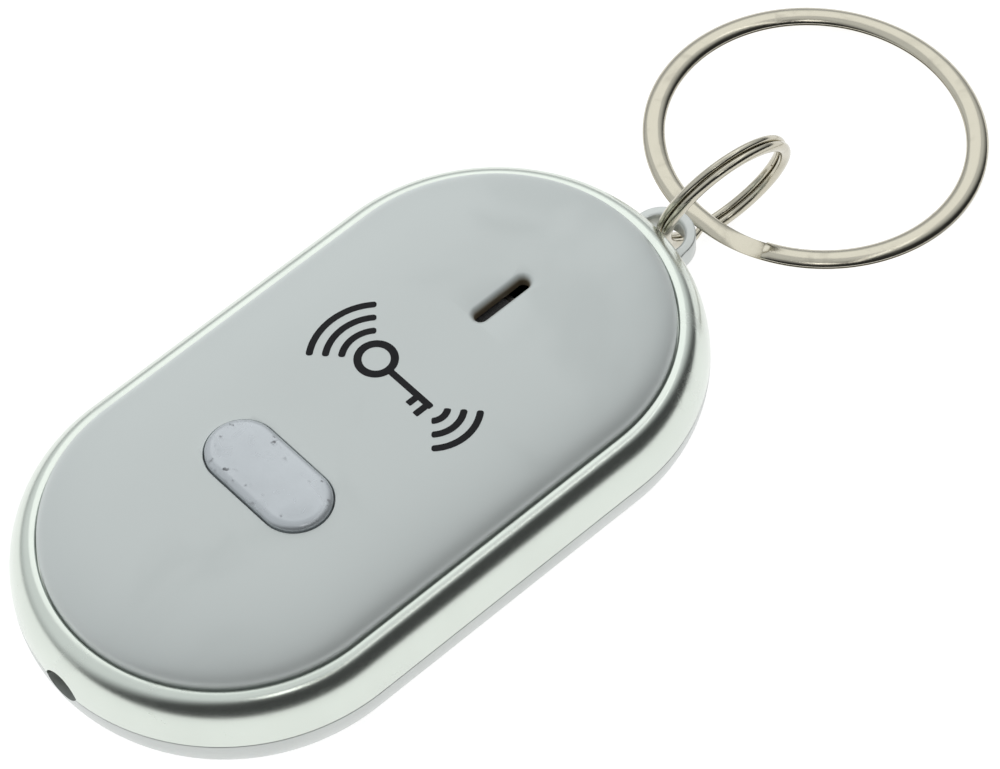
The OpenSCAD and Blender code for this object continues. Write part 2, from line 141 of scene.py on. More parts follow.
def length(name, description, default):
    """A length property, in metres."""
    return FloatProperty(name=name, description=description, default=default, min=0.0, precision=5,
                         unit="LENGTH")


def angle(name, description, degrees):
    """An angle property, given in degrees."""
    return FloatProperty(name=name, description=description, default=math.radians(degrees), unit="ROTATION")


def colour(name, description, default):
    """A colour property."""
    return FloatVectorProperty(name=name, description=description, default=default, size=3, min=0.0, max=1.0,
                               subtype="COLOR")


def share(name, description, default):
    """A number from 0 to 1."""
    return FloatProperty(name=name, description=description, default=default, min=0.0, max=1.0,
                         subtype="FACTOR")


def fullness(name, description, default):
    """Squareness of a wire's section, 2 for an ellipse."""
    return FloatProperty(name=name, description=description, default=default, min=2.0, max=8.0)


def offset(name, description, default):
    """A length property in metres that may be negative."""
    return FloatProperty(name=name, description=description, default=default, precision=5, unit="LENGTH")


class CasingSizes(bpy.types.PropertyGroup):
    """Shape of the two casings."""

    wall: length("Wall", "Thickness of the casing walls", 0.0013)
    floor: length("Floor", "Thickness of the back floor", 0.0016)
    back_round: length("Back rounding", "Radius that rounds the back into the sides", 0.0055)
    shoulder_w: length("Shoulder lean", "How far the front casing leans in above the parting line", 0.002)
    shoulder_h: length("Shoulder height", "Height of the front casing above the parting line", 0.00385)
    seam_edge: length("Seam edge", "Rounding of both casings at the parting line", 0.00009)
    crest_edge: length("Crest edge", "Rounding of the front casing beside the groove", 0.00016)
    groove: length("Groove", "Gap between the face plate and the front casing", 0.00008)
    tongue: length("Tongue", "Thickness of the tongue inside the back casing", 0.0008)
    lug_hole: length("Lug hole", "Diameter of the hole in the lug", 0.0034)
    lug_wall: length("Lug wall", "Wall round the hole in the lug", 0.00085)
    lug_edge: length("Lug edge", "Rounding of the edges of the lug", 0.0003)
    end_steps: IntProperty(name="End steps", description="Mesh steps round each end", default=72, min=16)
    side_steps: IntProperty(name="Side steps", description="Mesh steps along each side", default=24, min=4)


class PlateSizes(bpy.types.PropertyGroup):
    """Shape of the face plate and its openings."""

    crown: length("Crown", "Rise of the plate above its edge", 0.0019)
    thickness: length("Thickness", "Thickness of the plate", 0.001)
    rim: length("Rim", "Width of the rim that stands on the ledge", 0.0012)
    slot_w: length("Slot width", "Width of the sound slot at the face", 0.00205)
    slot_l: length("Slot length", "Length of the sound slot at the face", 0.0062)
    slot_lip: length("Slot lip", "Radius that rolls the face into the sound slot", 0.00055)
    slot_from_end: length("Slot place", "Distance from the ring end to the middle of the slot", 0.01474)
    button_gap: length("Button gap", "Clearance round the button", 0.00011)
    button_lip: length("Button lip", "Radius of the edge round the button", 0.00008)


class ButtonSizes(bpy.types.PropertyGroup):
    """Shape of the push button."""

    cap_l: length("Length", "Length of the button across the fob", 0.0112)
    cap_w: length("Width", "Width of the button along the fob", 0.0054)
    flange_t: length("Flange", "Thickness of the flange that keeps the button in", 0.0005)
    land: length("Land", "Width of the rolled edge round the flat of the button", 0.00072)
    drop: length("Roll", "How far that edge rolls down", 0.00042)


class MarkSizes(bpy.types.PropertyGroup):
    """The printed pictogram."""

    middle_y: length("Place", "Distance of the mark from the middle of the fob", 0.0037)
    stroke: length("Stroke", "Width of the printed lines", 0.00052)
    bow_r: length("Bow", "Middle radius of the key's bow", 0.00135)
    shaft_l: length("Shaft", "Length of the key's shaft", 0.0046)
    arc_step: length("Arc spacing", "Distance between the sound arcs", 0.00118)
    arc_half: angle("Arc reach", "Half of the angle of each sound arc", 42)
    ink: length("Ink", "Height of the ink on the face", 0.00002)


class RingSizes(bpy.types.PropertyGroup):
    """The two split rings as they lie."""

    small_d: length("Small ring", "Outside diameter of the small ring", 0.012)
    small_w: length("Small wire width", "Width of the small ring's wire", 0.0009)
    small_t: length("Small wire thickness", "Thickness of one turn of the small ring", 0.00064)
    small_lean: angle("Small lean", "Lean of the small ring away from upright", 14.5)
    small_yaw: angle("Small yaw", "Turn of the small ring away from the length of the fob", 6)
    large_d: length("Large ring", "Outside diameter of the large ring", 0.0265)
    large_w: length("Large wire width", "Width of the large ring's wire", 0.0017)
    large_t: length("Large wire thickness", "Thickness of one turn of the large ring", 0.00045)
    large_tilt: angle("Large tilt", "Tilt of the large ring as it lies", 4.8)
    small_full: fullness("Small fullness", "Squareness of the small ring's wire, 2 for an ellipse", 2.8)
    large_full: fullness("Large fullness", "Squareness of the large ring's wire, 2 for an ellipse", 3.0)
    small_dome: share("Small dome", "How far the small ring's turns round off toward their edges", 0.3)
    large_dome: share("Large dome", "How far the large ring's turns round off toward their edges", 0.9)
    turn_gap: length("Turn gap", "Gap between the two turns", 0.00004)
    step_start: angle("Step start", "Angle from the wire's start to its step between turns", 330)
    step_width: angle("Step width", "Angle that the step takes", 26)
    small_start: angle("Small start", "Where the small ring's wire starts", 212)
    large_start: angle("Large start", "Where the large ring's wire starts", -63)


class Finishes(bpy.types.PropertyGroup):
    """Colours and roughness of the finishes that show."""

    plate: colour("Plate", "Satin paint of the face plate", (0.705, 0.75, 0.735))
    casing: colour("Front casing", "Gloss metallic of the front casing", (0.70, 0.75, 0.69))
    back: colour("Back casing", "Pale silver of the back casing", (0.66, 0.69, 0.67))
    button: colour("Button", "Paint of the button", (0.60, 0.64, 0.67))
    ink: colour("Ink", "Printed mark", (0.012, 0.012, 0.014))
    nickel: colour("Rings", "Nickel plating of the rings", (0.55, 0.52, 0.43))
    board: colour("Board", "Solder mask of the circuit board", (0.012, 0.12, 0.045))
    plate_rough: share("Plate roughness", "Roughness of the plate's paint", 0.5)
    casing_rough: share("Casing roughness", "Roughness of the front casing", 0.25)
    nickel_rough: share("Ring roughness", "Roughness of the rings", 0.16)


class CameraPlace(bpy.types.PropertyGroup):
    """Where the picture is taken from."""

    azimuth: angle("Azimuth", "Turn of the camera round the fob, from the lamp end", 51.02)
    elevation: angle("Elevation", "Height of the camera above the table", 54.54)
    roll: angle("Roll", "Turn of the camera about its own line of sight", -4.24)
    distance: length("Distance", "Distance from the aim to the camera", 0.37007)
    aim_x: offset("Aim X", "Where the camera aims, across", -0.000855)
    aim_y: offset("Aim Y", "Where the camera aims, along", 0.013788)
    lens: FloatProperty(name="Lens", description="Focal length in millimetres", default=178.9, min=1.0)


def settings(name):
    """One of the groups of settings kept on the scene."""
    return getattr(bpy.context.scene, "fob_" + name)


# ---- mesh tools ----


def arc(centre, radius, start, end, steps):
    """Points along an arc in a plane; angles in degrees, 0 along the first axis."""
    turns = [math.radians(start + (end - start) * k / steps) for k in range(steps + 1)]
    return [(centre[0] + radius * math.cos(t), centre[1] + radius * math.sin(t)) for t in turns]


def rounded(corners, steps=6):
    """An outline from (x, z, radius) corners, each with a tangent arc of its radius."""
    points = []
    count = len(corners)
    for k, (x, z, radius) in enumerate(corners):
        here = Vector((x, z))
        if radius <= 0:
            points.append((x, z))
            continue
        before = (Vector(corners[k - 1][:2]) - here).normalized()
        after = (Vector(corners[(k + 1) % count][:2]) - here).normalized()
        half = before.angle(after) / 2
        centre = here + (before + after).normalized() * radius / math.sin(half)
        first = here + before * radius / math.tan(half) - centre
        last = here + after * radius / math.tan(half) - centre
        turn = first.angle_signed(last)
        for step in range(steps + 1):
            spoke = first.copy()
            spoke.rotate(Matrix.Rotation(-turn * step / steps, 2))
            points.append(tuple(centre + spoke))
    return points


def outline(bm, points, closed=True, place=None):
    """Joins (x, z) points into a chain of edges in the XZ plane, and returns its vertices and edges."""
    verts = [bm.verts.new((x, 0, z)) for x, z in points]
    pairs = list(zip(verts, verts[1:])) + ([(verts[-1], verts[0])] if closed else [])
    edges = [bm.edges.new(pair) for pair in pairs]
    if place:
        bmesh.ops.transform(bm, matrix=place, verts=verts)
    return verts + edges


def verts_of(geom):
    """The vertices in an operator's result."""
    return [part for part in geom if isinstance(part, bmesh.types.BMVert)]


def edges_of(geom):
    """The edges in an operator's result."""
    return [part for part in geom if isinstance(part, bmesh.types.BMEdge)]


def tidy(bm):
    """Closes the seams and poles and points the faces outwards."""
    bmesh.ops.remove_doubles(bm, verts=bm.verts, dist=MERGE)
    bmesh.ops.dissolve_degenerate(bm, dist=MERGE, edges=bm.edges)
    bmesh.ops.recalc_face_normals(bm, faces=bm.faces)
    if bm.calc_volume(signed=True) < 0:
        bmesh.ops.reverse_faces(bm, faces=bm.faces)
    return bm


def open_at_axis(points):
    """True for an outline that starts and ends on the axis, and so needs no wall along it."""
    return abs(points[0][0]) < MERGE and abs(points[-1][0]) < MERGE


def turned(points, place=None, steps=48):
    """A (radius, z) outline turned about Z."""
    bm = bmesh.new()
    geom = outline(bm, points, not open_at_axis(points))
    bmesh.ops.spin(bm, geom=geom, cent=(0, 0, 0), axis=UP, angle=FULL_TURN, steps=steps, use_merge=True)
    tidy(bm)
    if place:
        bmesh.ops.transform(bm, matrix=place, verts=bm.verts)
    return bm


def oval_swept(points, spine, end_steps=48, side_steps=12, place=None):
    """A (radius, z) outline carried round an oval whose straight sides are 2 * spine long, along Y."""
    bm = bmesh.new()
    geom = outline(bm, points, not open_at_axis(points), at(0, -spine))
    for side in (1, -1):
        run = (0, side * 2 * spine / side_steps, 0)
        geom = bmesh.ops.spin(bm, geom=geom, axis=UP, dvec=run, angle=0, steps=side_steps)["geom_last"]
        end = (0, side * spine, 0)
        geom = bmesh.ops.spin(bm, geom=geom, cent=end, axis=UP, angle=HALF_TURN, steps=end_steps)["geom_last"]
    tidy(bm)
    if place:
        bmesh.ops.transform(bm, matrix=place, verts=bm.verts)
    return bm


def solid_oval(width, size, low, high, place=None, lip=0.0, end_steps=24):
    """A standing oval block along Y. With a lip it is a cutter that rolls an opening's edge by that much."""
    radius, spine = width / 2, (size - width) / 2
    points = [(0, low), (radius, low), (radius, high), (0, high)]
    if lip:
        points = [(0, low), (radius - lip, low)] + arc((radius, high - lip), lip, 180, 90, 8)
        points += [(radius, high + 1), (0, high + 1)]
    return oval_swept(points, spine, end_steps, 8, place)


def cylinder(radius, low, high, x=0.0, y=0.0, steps=40):
    """A plain standing cylinder, for joining and cutting."""
    bm = bmesh.new()
    depth = high - low
    bmesh.ops.create_cone(bm, cap_ends=True, segments=steps, radius1=radius, radius2=radius, depth=depth,
                          matrix=at(x, y, low + depth / 2))
    return bm


def temporary(bm):
    """A short-lived object of a mesh, which is freed."""
    mesh = bpy.data.meshes.new("work")
    bm.to_mesh(mesh)
    bm.free()
    obj = bpy.data.objects.new("work", mesh)
    bpy.context.scene.collection.objects.link(obj)
    return obj


def discard(*objects):
    """Removes objects with their meshes."""
    for obj in objects:
        mesh = obj.data
        bpy.data.objects.remove(obj)
        bpy.data.meshes.remove(mesh)


def combine(bm, tools, operation="DIFFERENCE"):
    """Cuts, joins or intersects one closed solid with others, one after another."""
    base = temporary(bm)
    workers = [temporary(tool) for tool in tools]
    for worker in workers:
        step = base.modifiers.new("step", "BOOLEAN")
        step.operation = operation
        step.solver = "EXACT"
        step.object = worker
    graph = bpy.context.evaluated_depsgraph_get()
    result = bmesh.new()
    mesh = bpy.data.meshes.new_from_object(base.evaluated_get(graph))
    result.from_mesh(mesh)
    bpy.data.meshes.remove(mesh)
    discard(base, *workers)
    bmesh.ops.remove_doubles(result, verts=result.verts, dist=MERGE)
    return result


def gather(whole, part):
    """Adds one mesh to another, and frees it."""
    mesh = bpy.data.meshes.new("work")
    part.to_mesh(mesh)
    part.free()
    whole.from_mesh(mesh)
    bpy.data.meshes.remove(mesh)


def rounded_edges(bm, radius, segments=2, limit=30, edges=None):
    """Rounds the edges that are sharper than a limit in degrees."""
    bend = math.radians(limit)
    sharp = edges or [e for e in bm.edges if e.is_manifold and e.calc_face_angle(0) > bend]
    bmesh.ops.bevel(bm, geom=sharp, offset=radius, segments=segments, profile=0.5, affect="EDGES",
                    clamp_overlap=True, loop_slide=True, material=-1)
    return bm


def piece(name, bm, material, body, replaces=(), sharp=35):
    """A finished piece, in metres, that rides on a body and takes its finish from a slot."""
    bmesh.ops.scale(bm, vec=(MILLI,) * 3, verts=bm.verts)
    mesh = bpy.data.meshes.new(name)
    bm.to_mesh(mesh)
    bm.free()
    mesh.materials.append(material)
    mesh.shade_smooth()
    mesh.set_sharp_from_angle(angle=math.radians(sharp))
    obj = bpy.data.objects.new(name, mesh)
    bpy.context.scene.collection.objects.link(obj)
    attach(obj, body)
    if replaces:
        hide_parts(*replaces)
    return obj


def softened(node, radius, segments=2):
    """A copy of a frame node's mesh with its flat faces joined up and its edges rounded."""
    bm = bmesh.new()
    bm.from_mesh(frame["nodes"][node].data)
    bmesh.ops.scale(bm, vec=(1 / MILLI,) * 3, verts=bm.verts)
    bmesh.ops.remove_doubles(bm, verts=bm.verts, dist=NODE_MERGE)
    bmesh.ops.dissolve_limit(bm, angle_limit=FLAT, verts=bm.verts, edges=bm.edges)
    return rounded_edges(bm, radius, segments)


# ---- shader tools ----


def add(tree, kind, **values):
    """A node with its settings or input values set by name."""
    node = tree.nodes.new("ShaderNode" + kind)
    for key, value in values.items():
        if hasattr(node, key):
            setattr(node, key, value)
        else:
            node.inputs[key.replace("_", " ")].default_value = value
    return node


def join(tree, source, target):
    """Links an output to an input."""
    tree.links.new(source, target)


def math_node(tree, operation, first, second=None, clamp=False):
    """A Math node fed by sockets or numbers; returns its output."""
    node = add(tree, "Math", operation=operation, use_clamp=clamp)
    for socket, value in zip(node.inputs, (first, second)):
        if isinstance(value, bpy.types.NodeSocket):
            join(tree, value, socket)
        elif value is not None:
            socket.default_value = value
    return node.outputs[0]


def times(tree, first, second):
    """A product of sockets or numbers."""
    return math_node(tree, "MULTIPLY", first, second)


def plus(tree, first, second):
    """A sum of sockets or numbers."""
    return math_node(tree, "ADD", first, second)


def minus(tree, first, second, clamp=False):
    """A difference of sockets or numbers."""
    return math_node(tree, "SUBTRACT", first, second, clamp)


def spread(tree, value, low, high, to_low=0.0, to_high=1.0, smooth=True):
    """A value's range carried over to another range."""
    node = add(tree, "MapRange", interpolation_type="SMOOTHSTEP" if smooth else "LINEAR")
    join(tree, value, node.inputs["Value"])
    for key, number in (("From Min", low), ("From Max", high), ("To Min", to_low), ("To Max", to_high)):
        node.inputs[key].default_value = number
    return node.outputs["Result"]


def tint(tree, factor, first, second):
    """A colour between two, by a factor. Each is a colour or a socket."""
    node = add(tree, "Mix", data_type="RGBA")
    for index, value in ((0, factor), (6, first), (7, second)):
        socket = node.inputs[index]
        if isinstance(value, bpy.types.NodeSocket):
            join(tree, value, socket)
        else:
            socket.default_value = value if index == 0 else (*value, 1.0)
    return node.outputs[2]


def darker(base, factor):
    """A colour scaled down, or up where the factor is over 1."""
    return tuple(c * factor for c in base)


def noise(tree, place, scale, detail=3.0, roughness=0.5):
    """A noise value at a place."""
    node = add(tree, "TexNoise", Scale=scale, Detail=detail, Roughness=roughness)
    join(tree, place, node.inputs["Vector"])
    return node.outputs["Fac"]


def split(tree, place):
    """The X, Y and Z outputs of a place."""
    node = add(tree, "SeparateXYZ")
    join(tree, place, node.inputs[0])
    return node.outputs


def group_tree(name, inputs, outputs):
    """A shader node group with named sockets, and its input and output nodes."""
    tree = bpy.data.node_groups.new(name, "ShaderNodeTree")
    for label, kind, value in inputs:
        socket = tree.interface.new_socket(name=label, in_out="INPUT", socket_type=kind)
        if value is not None:
            socket.default_value = value
    for label in outputs:
        tree.interface.new_socket(name=label, in_out="OUTPUT", socket_type="NodeSocketFloat")
    return tree, tree.nodes.new("NodeGroupInput"), tree.nodes.new("NodeGroupOutput")


def surface_group():
    """Fine grain, slow mottle, sparse specks and smudges, each from 0 to 1."""
    name = "Fob surface"
    if name in bpy.data.node_groups:
        return bpy.data.node_groups[name]
    tree, into, out = group_tree(name, [
        ("Place", "NodeSocketVector", None), ("Grain scale", "NodeSocketFloat", 9000.0),
        ("Mottle scale", "NodeSocketFloat", 120.0), ("Speck scale", "NodeSocketFloat", 420.0),
        ("Speck size", "NodeSocketFloat", 0.07),
    ], ("Grain", "Mottle", "Specks", "Smudge"))
    place = into.outputs["Place"]

    def scaled_noise(label, detail, distortion=0.0):
        node = add(tree, "TexNoise", Detail=detail, Distortion=distortion)
        join(tree, place, node.inputs["Vector"])
        join(tree, into.outputs[label], node.inputs["Scale"])
        return node.outputs["Fac"]

    join(tree, scaled_noise("Grain scale", 2.0), out.inputs["Grain"])
    join(tree, spread(tree, scaled_noise("Mottle scale", 4.0), 0.3, 0.7), out.inputs["Mottle"])
    join(tree, spread(tree, scaled_noise("Mottle scale", 6.0, 1.4), 0.52, 0.7), out.inputs["Smudge"])
    cells = add(tree, "TexVoronoi")
    join(tree, place, cells.inputs["Vector"])
    join(tree, into.outputs["Speck scale"], cells.inputs["Scale"])
    lot = add(tree, "SeparateColor")
    join(tree, cells.outputs["Color"], lot.inputs["Color"])
    chance = math_node(tree, "POWER", lot.outputs["Red"], 7.0)
    reach = times(tree, chance, into.outputs["Speck size"])
    inside = minus(tree, reach, cells.outputs["Distance"])
    join(tree, spread(tree, inside, 0.0, 0.03), out.inputs["Specks"])
    return tree


def rim_group():
    """1 along the rim of an oval that lies along Y, falling to 0 at a width inside it."""
    name = "Fob oval rim"
    if name in bpy.data.node_groups:
        return bpy.data.node_groups[name]
    tree, into, out = group_tree(name, [
        ("Place", "NodeSocketVector", None), ("Spine", "NodeSocketFloat", 0.01),
        ("Radius", "NodeSocketFloat", 0.01), ("Width", "NodeSocketFloat", 0.001),
    ], ("Rim",))
    parts = split(tree, into.outputs["Place"])
    beyond = minus(tree, math_node(tree, "ABSOLUTE", parts["Y"]), into.outputs["Spine"])
    along = math_node(tree, "MAXIMUM", beyond, 0.0)
    squares = plus(tree, math_node(tree, "POWER", along, 2.0),
                        math_node(tree, "POWER", math_node(tree, "ABSOLUTE", parts["X"]), 2.0))
    inset = minus(tree, into.outputs["Radius"], math_node(tree, "SQRT", squares))
    part = math_node(tree, "DIVIDE", inset, into.outputs["Width"])
    join(tree, minus(tree, 1.0, math_node(tree, "ABSOLUTE", part), clamp=True), out.inputs["Rim"])
    return tree


def polish_group():
    """Fine drawn lines that run round a ring or a turned part whose axis is Z, and slow wear."""
    name = "Fob drawn wire"
    if name in bpy.data.node_groups:
        return bpy.data.node_groups[name]
    tree, into, out = group_tree(name, [
        ("Place", "NodeSocketVector", None), ("Line scale", "NodeSocketFloat", 9000.0),
        ("Wear scale", "NodeSocketFloat", 300.0),
    ], ("Lines", "Wear"))
    parts = split(tree, into.outputs["Place"])
    turn = math_node(tree, "ARCTAN2", parts["Y"], parts["X"])
    flat = plus(tree, times(tree, parts["X"], parts["X"]),
                     times(tree, parts["Y"], parts["Y"]))
    round_place = add(tree, "CombineXYZ")
    join(tree, math_node(tree, "SQRT", flat), round_place.inputs["X"])
    join(tree, times(tree, turn, 0.0004), round_place.inputs["Y"])
    join(tree, parts["Z"], round_place.inputs["Z"])
    lines = add(tree, "TexNoise", Detail=3.0)
    join(tree, round_place.outputs[0], lines.inputs["Vector"])
    join(tree, into.outputs["Line scale"], lines.inputs["Scale"])
    join(tree, lines.outputs["Fac"], out.inputs["Lines"])
    wear = add(tree, "TexNoise", Detail=5.0, Distortion=0.8)
    join(tree, into.outputs["Place"], wear.inputs["Vector"])
    join(tree, into.outputs["Wear scale"], wear.inputs["Scale"])
    join(tree, spread(tree, wear.outputs["Fac"], 0.5, 0.72), out.inputs["Wear"])
    return tree


def placed(tree, group, place, **values):
    """A node group in a material, with its own values."""
    node = tree.nodes.new("ShaderNodeGroup")
    node.node_tree = group
    join(tree, place, node.inputs["Place"])
    for key, value in values.items():
        node.inputs[key.replace("_", " ").capitalize()].default_value = value
    return node.outputs


def finish(name, metallic=0.0, coat=0.0, coat_rough=0.1, ior=1.5):
    """A new material: its tree, its shader and the object's own coordinates."""
    material = bpy.data.materials.new(name)
    material.use_nodes = True
    tree = material.node_tree
    shader = tree.nodes["Principled BSDF"]
    shader.inputs["Metallic"].default_value = metallic
    shader.inputs["IOR"].default_value = ior
    shader.inputs["Coat Weight"].default_value = coat
    shader.inputs["Coat Roughness"].default_value = coat_rough
    place = add(tree, "TexCoord").outputs["Object"]
    return material, tree, shader, place


def relief(tree, shader, height, distance, strength=1.0):
    """A bump of a height map, over a distance in millimetres."""
    bump = add(tree, "Bump", Strength=strength, Distance=distance * MILLI)
    join(tree, height, bump.inputs["Height"])
    join(tree, bump.outputs["Normal"], shader.inputs["Normal"])


def finished(name, base, dark, rough, metallic=0.0, grain=9000.0, grain_depth=0.004, mottle=120.0,
             speck=420.0, speck_size=0.05, coat=0.0, coat_rough=0.1):
    """A finish that varies in colour, roughness and height: the start of most materials."""
    material, tree, shader, place = finish(name, metallic, coat, coat_rough)
    look = placed(tree, surface_group(), place, grain_scale=grain, mottle_scale=mottle, speck_scale=speck,
                  speck_size=speck_size)
    soft = times(tree, look["Mottle"], 0.35)
    clean = tint(tree, soft, base, dark)
    join(tree, tint(tree, look["Specks"], clean, darker(dark, 0.3)), shader.inputs["Base Color"])
    smeared = times(tree, look["Smudge"], 0.25 * rough)
    flecks = times(tree, look["Grain"], 0.2 * rough)
    total = plus(tree, plus(tree, smeared, flecks), rough * 0.85)
    join(tree, total, shader.inputs["Roughness"])
    relief(tree, shader, look["Grain"], grain_depth)
    return material


# Warm dark brown painted down the wall of the sound slot as its shade.
SLOT_SHADE = (0.27, 0.22, 0.15)
# How far past the slot's sides the painted shade on its wall starts and is full, and how deep it starts, in
# metres.
SHADE_START, SHADE_FULL, SHADE_DEPTH = 0.0004, 0.0002, 0.00005


def plate_paint():
    """Satin metallic paint with fine flake, dust specks, and painted shade in warm dark brown down the wall of
    the slot.
    """
    f, s = settings("finishes"), settings("plate")
    material = finished("plate_paint", tuple(f.plate), darker(f.plate, 0.95), f.plate_rough, metallic=0.25,
                        grain=14000.0, grain_depth=0.0012, mottle=70.0, speck=260.0, speck_size=0.07,
                        coat=0.15, coat_rough=0.3)
    tree = material.node_tree
    shader = tree.nodes["Principled BSDF"]
    parts = split(tree, add(tree, "TexCoord").outputs["Object"])
    slot_y = HALF_L - mm(s.slot_from_end)
    face = crown_height(0, slot_y, mm(s.crown)) * MILLI
    # Painted shade down the slot's wall: a mask inside the slot's outline and below its face, which mixes in
    # the warm dark brown.
    along = math_node(tree, "ABSOLUTE", minus(tree, parts["Y"], slot_y * MILLI))
    beside = math_node(tree, "ABSOLUTE", parts["X"])
    inside = times(tree, spread(tree, along, s.slot_l / 2 + SHADE_START, s.slot_l / 2 + SHADE_FULL),
                   spread(tree, beside, s.slot_w / 2 + SHADE_START, s.slot_w / 2 + SHADE_FULL))
    deep = spread(tree, parts["Z"], face - SHADE_DEPTH, face - s.slot_lip)
    painted = shader.inputs["Base Color"].links[0].from_socket
    slot_shaded = tint(tree, times(tree, inside, deep), painted, SLOT_SHADE)
    join(tree, slot_shaded, shader.inputs["Base Color"])
    return material


def casing_metal():
    """Gloss metallic coating of the front casing."""
    f = settings("finishes")
    return finished("casing_metal", tuple(f.casing), darker(f.casing, 0.9), f.casing_rough, metallic=0.95,
                    grain=6000.0, grain_depth=0.001, mottle=150.0, speck=330.0, speck_size=0.08, coat=0.2,
                    coat_rough=0.12)


def back_paint():
    """Silver paint over moulded plastic, with the mould's fine texture."""
    f = settings("finishes")
    return finished("back_paint", tuple(f.back), darker(f.back, 0.86), 0.34, metallic=0.5, grain=5200.0,
                    grain_depth=0.006, mottle=110.0, speck=300.0, speck_size=0.08, coat=0.15, coat_rough=0.2)


def button_paint():
    """Silver paint of the button, with dark scuffs round its rolled edge."""
    f, s = settings("finishes"), settings("button")
    material, tree, shader, place = finish("button_paint", 0.35, 0.3, 0.15)
    look = placed(tree, surface_group(), place, grain_scale=13000.0, mottle_scale=420.0, speck_scale=900.0,
                  speck_size=0.1)
    turned_place = add(tree, "Mapping", vector_type="TEXTURE", Location=(0, BUTTON_Y * MILLI, 0),
                       Rotation=(0, 0, math.pi / 2))
    join(tree, place, turned_place.inputs["Vector"])
    rim = placed(tree, rim_group(), turned_place.outputs[0], spine=(s.cap_l - s.cap_w) / 2,
                 radius=s.cap_w / 2 - 0.0006, width=0.0007)["Rim"]
    scuffs = times(tree, spread(tree, noise(tree, place, 1500.0, 4.0), 0.6, 0.68), rim)
    clean = tint(tree, times(tree, look["Mottle"], 0.4), tuple(f.button), darker(f.button, 0.86))
    worn = tint(tree, times(tree, scuffs, 0.85), clean, (0.09, 0.09, 0.1))
    join(tree, tint(tree, look["Specks"], worn, (0.12, 0.12, 0.13)), shader.inputs["Base Color"])
    rough = plus(tree, times(tree, scuffs, 0.3), 0.24)
    rough = plus(tree, rough, times(tree, look["Smudge"], 0.1))
    join(tree, rough, shader.inputs["Roughness"])
    relief(tree, shader, look["Grain"], 0.002)
    return material


def ring_nickel(name, centre, turn):
    """Nickel plating with fine drawn lines round the ring and handling wear."""
    f = settings("finishes")
    material, tree, shader, place = finish(name, 1.0)
    own = add(tree, "Mapping", vector_type="TEXTURE", Location=centre * MILLI, Rotation=turn)
    join(tree, place, own.inputs["Vector"])
    look = placed(tree, polish_group(), own.outputs[0], line_scale=16000.0, wear_scale=420.0)
    specks = placed(tree, surface_group(), place, speck_scale=800.0, speck_size=0.14)
    bright = tint(tree, look["Wear"], tuple(f.nickel), darker(f.nickel, 0.88))
    join(tree, tint(tree, specks["Specks"], bright, (0.16, 0.12, 0.08)), shader.inputs["Base Color"])
    rough = plus(tree, times(tree, look["Wear"], 0.08),
                      times(tree, look["Lines"], 0.06))
    join(tree, plus(tree, rough, f.nickel_rough * 0.8), shader.inputs["Roughness"])
    relief(tree, shader, look["Lines"], 0.003)
    return material


def ink():
    """Pad-printed ink, a little uneven."""
    f = settings("finishes")
    material = finished("print_ink", tuple(f.ink), (0.02, 0.02, 0.023), 0.5, grain=9000.0, grain_depth=0.004,
                        mottle=900.0, speck_size=0.0)
    material.node_tree.nodes["Principled BSDF"].inputs["Specular IOR Level"].default_value = 0.15
    return material


def lamp_epoxy():
    """Water-clear epoxy of the lamp, faintly hazed."""
    material, tree, shader, place = finish("lamp_epoxy", ior=1.52)
    look = placed(tree, surface_group(), place, grain_scale=4000.0, mottle_scale=600.0)
    haze = tint(tree, look["Mottle"], (0.92, 0.93, 0.88), (0.86, 0.87, 0.8))
    join(tree, haze, shader.inputs["Base Color"])
    shader.inputs["Transmission Weight"].default_value = 0.9
    join(tree, spread(tree, look["Smudge"], 0.0, 1.0, 0.08, 0.2), shader.inputs["Roughness"])
    relief(tree, shader, look["Grain"], 0.002)
    return material


def board_mask():
    """Green solder mask over copper tracks, with tinned dots."""
    f = settings("finishes")
    material, tree, shader, place = finish("board_mask", coat=0.5, coat_rough=0.15)
    black, white = (0, 0, 0, 1), (1, 1, 1, 1)
    bricks = add(tree, "TexBrick", Scale=260.0, Color1=black, Color2=black, Mortar=white)
    bricks.inputs["Mortar Size"].default_value = 0.045
    join(tree, place, bricks.inputs["Vector"])
    cells = add(tree, "TexVoronoi", Scale=380.0)
    join(tree, place, cells.inputs["Vector"])
    pads = spread(tree, cells.outputs["Distance"], 0.16, 0.13)
    tracks = add(tree, "SeparateColor")
    join(tree, bricks.outputs["Color"], tracks.inputs["Color"])
    grain = noise(tree, place, 3000.0)
    mask = tint(tree, tracks.outputs["Red"], tuple(f.board), darker(f.board, 2.2))
    mask = tint(tree, times(tree, grain, 0.3), mask, darker(f.board, 0.5))
    join(tree, tint(tree, pads, mask, (0.62, 0.6, 0.54)), shader.inputs["Base Color"])
    join(tree, pads, shader.inputs["Metallic"])
    join(tree, spread(tree, grain, 0.2, 0.8, 0.28, 0.42), shader.inputs["Roughness"])
    relief(tree, shader, plus(tree, tracks.outputs["Red"], pads), 0.03)
    return material


def enamelled_copper():
    """Copper wire with a clear enamel, in fine wound lines."""
    material, tree, shader, place = finish("enamelled_copper", 0.9, 0.4, 0.1)
    wave = add(tree, "TexWave", bands_direction="Z", Scale=1400.0, Distortion=0.4, Detail=1.0)
    join(tree, place, wave.inputs["Vector"])
    copper = tint(tree, wave.outputs["Fac"], (0.3, 0.08, 0.03), (0.78, 0.32, 0.13))
    join(tree, copper, shader.inputs["Base Color"])
    join(tree, spread(tree, noise(tree, place, 2500.0), 0.2, 0.8, 0.2, 0.36), shader.inputs["Roughness"])
    relief(tree, shader, wave.outputs["Fac"], 0.06)
    return material


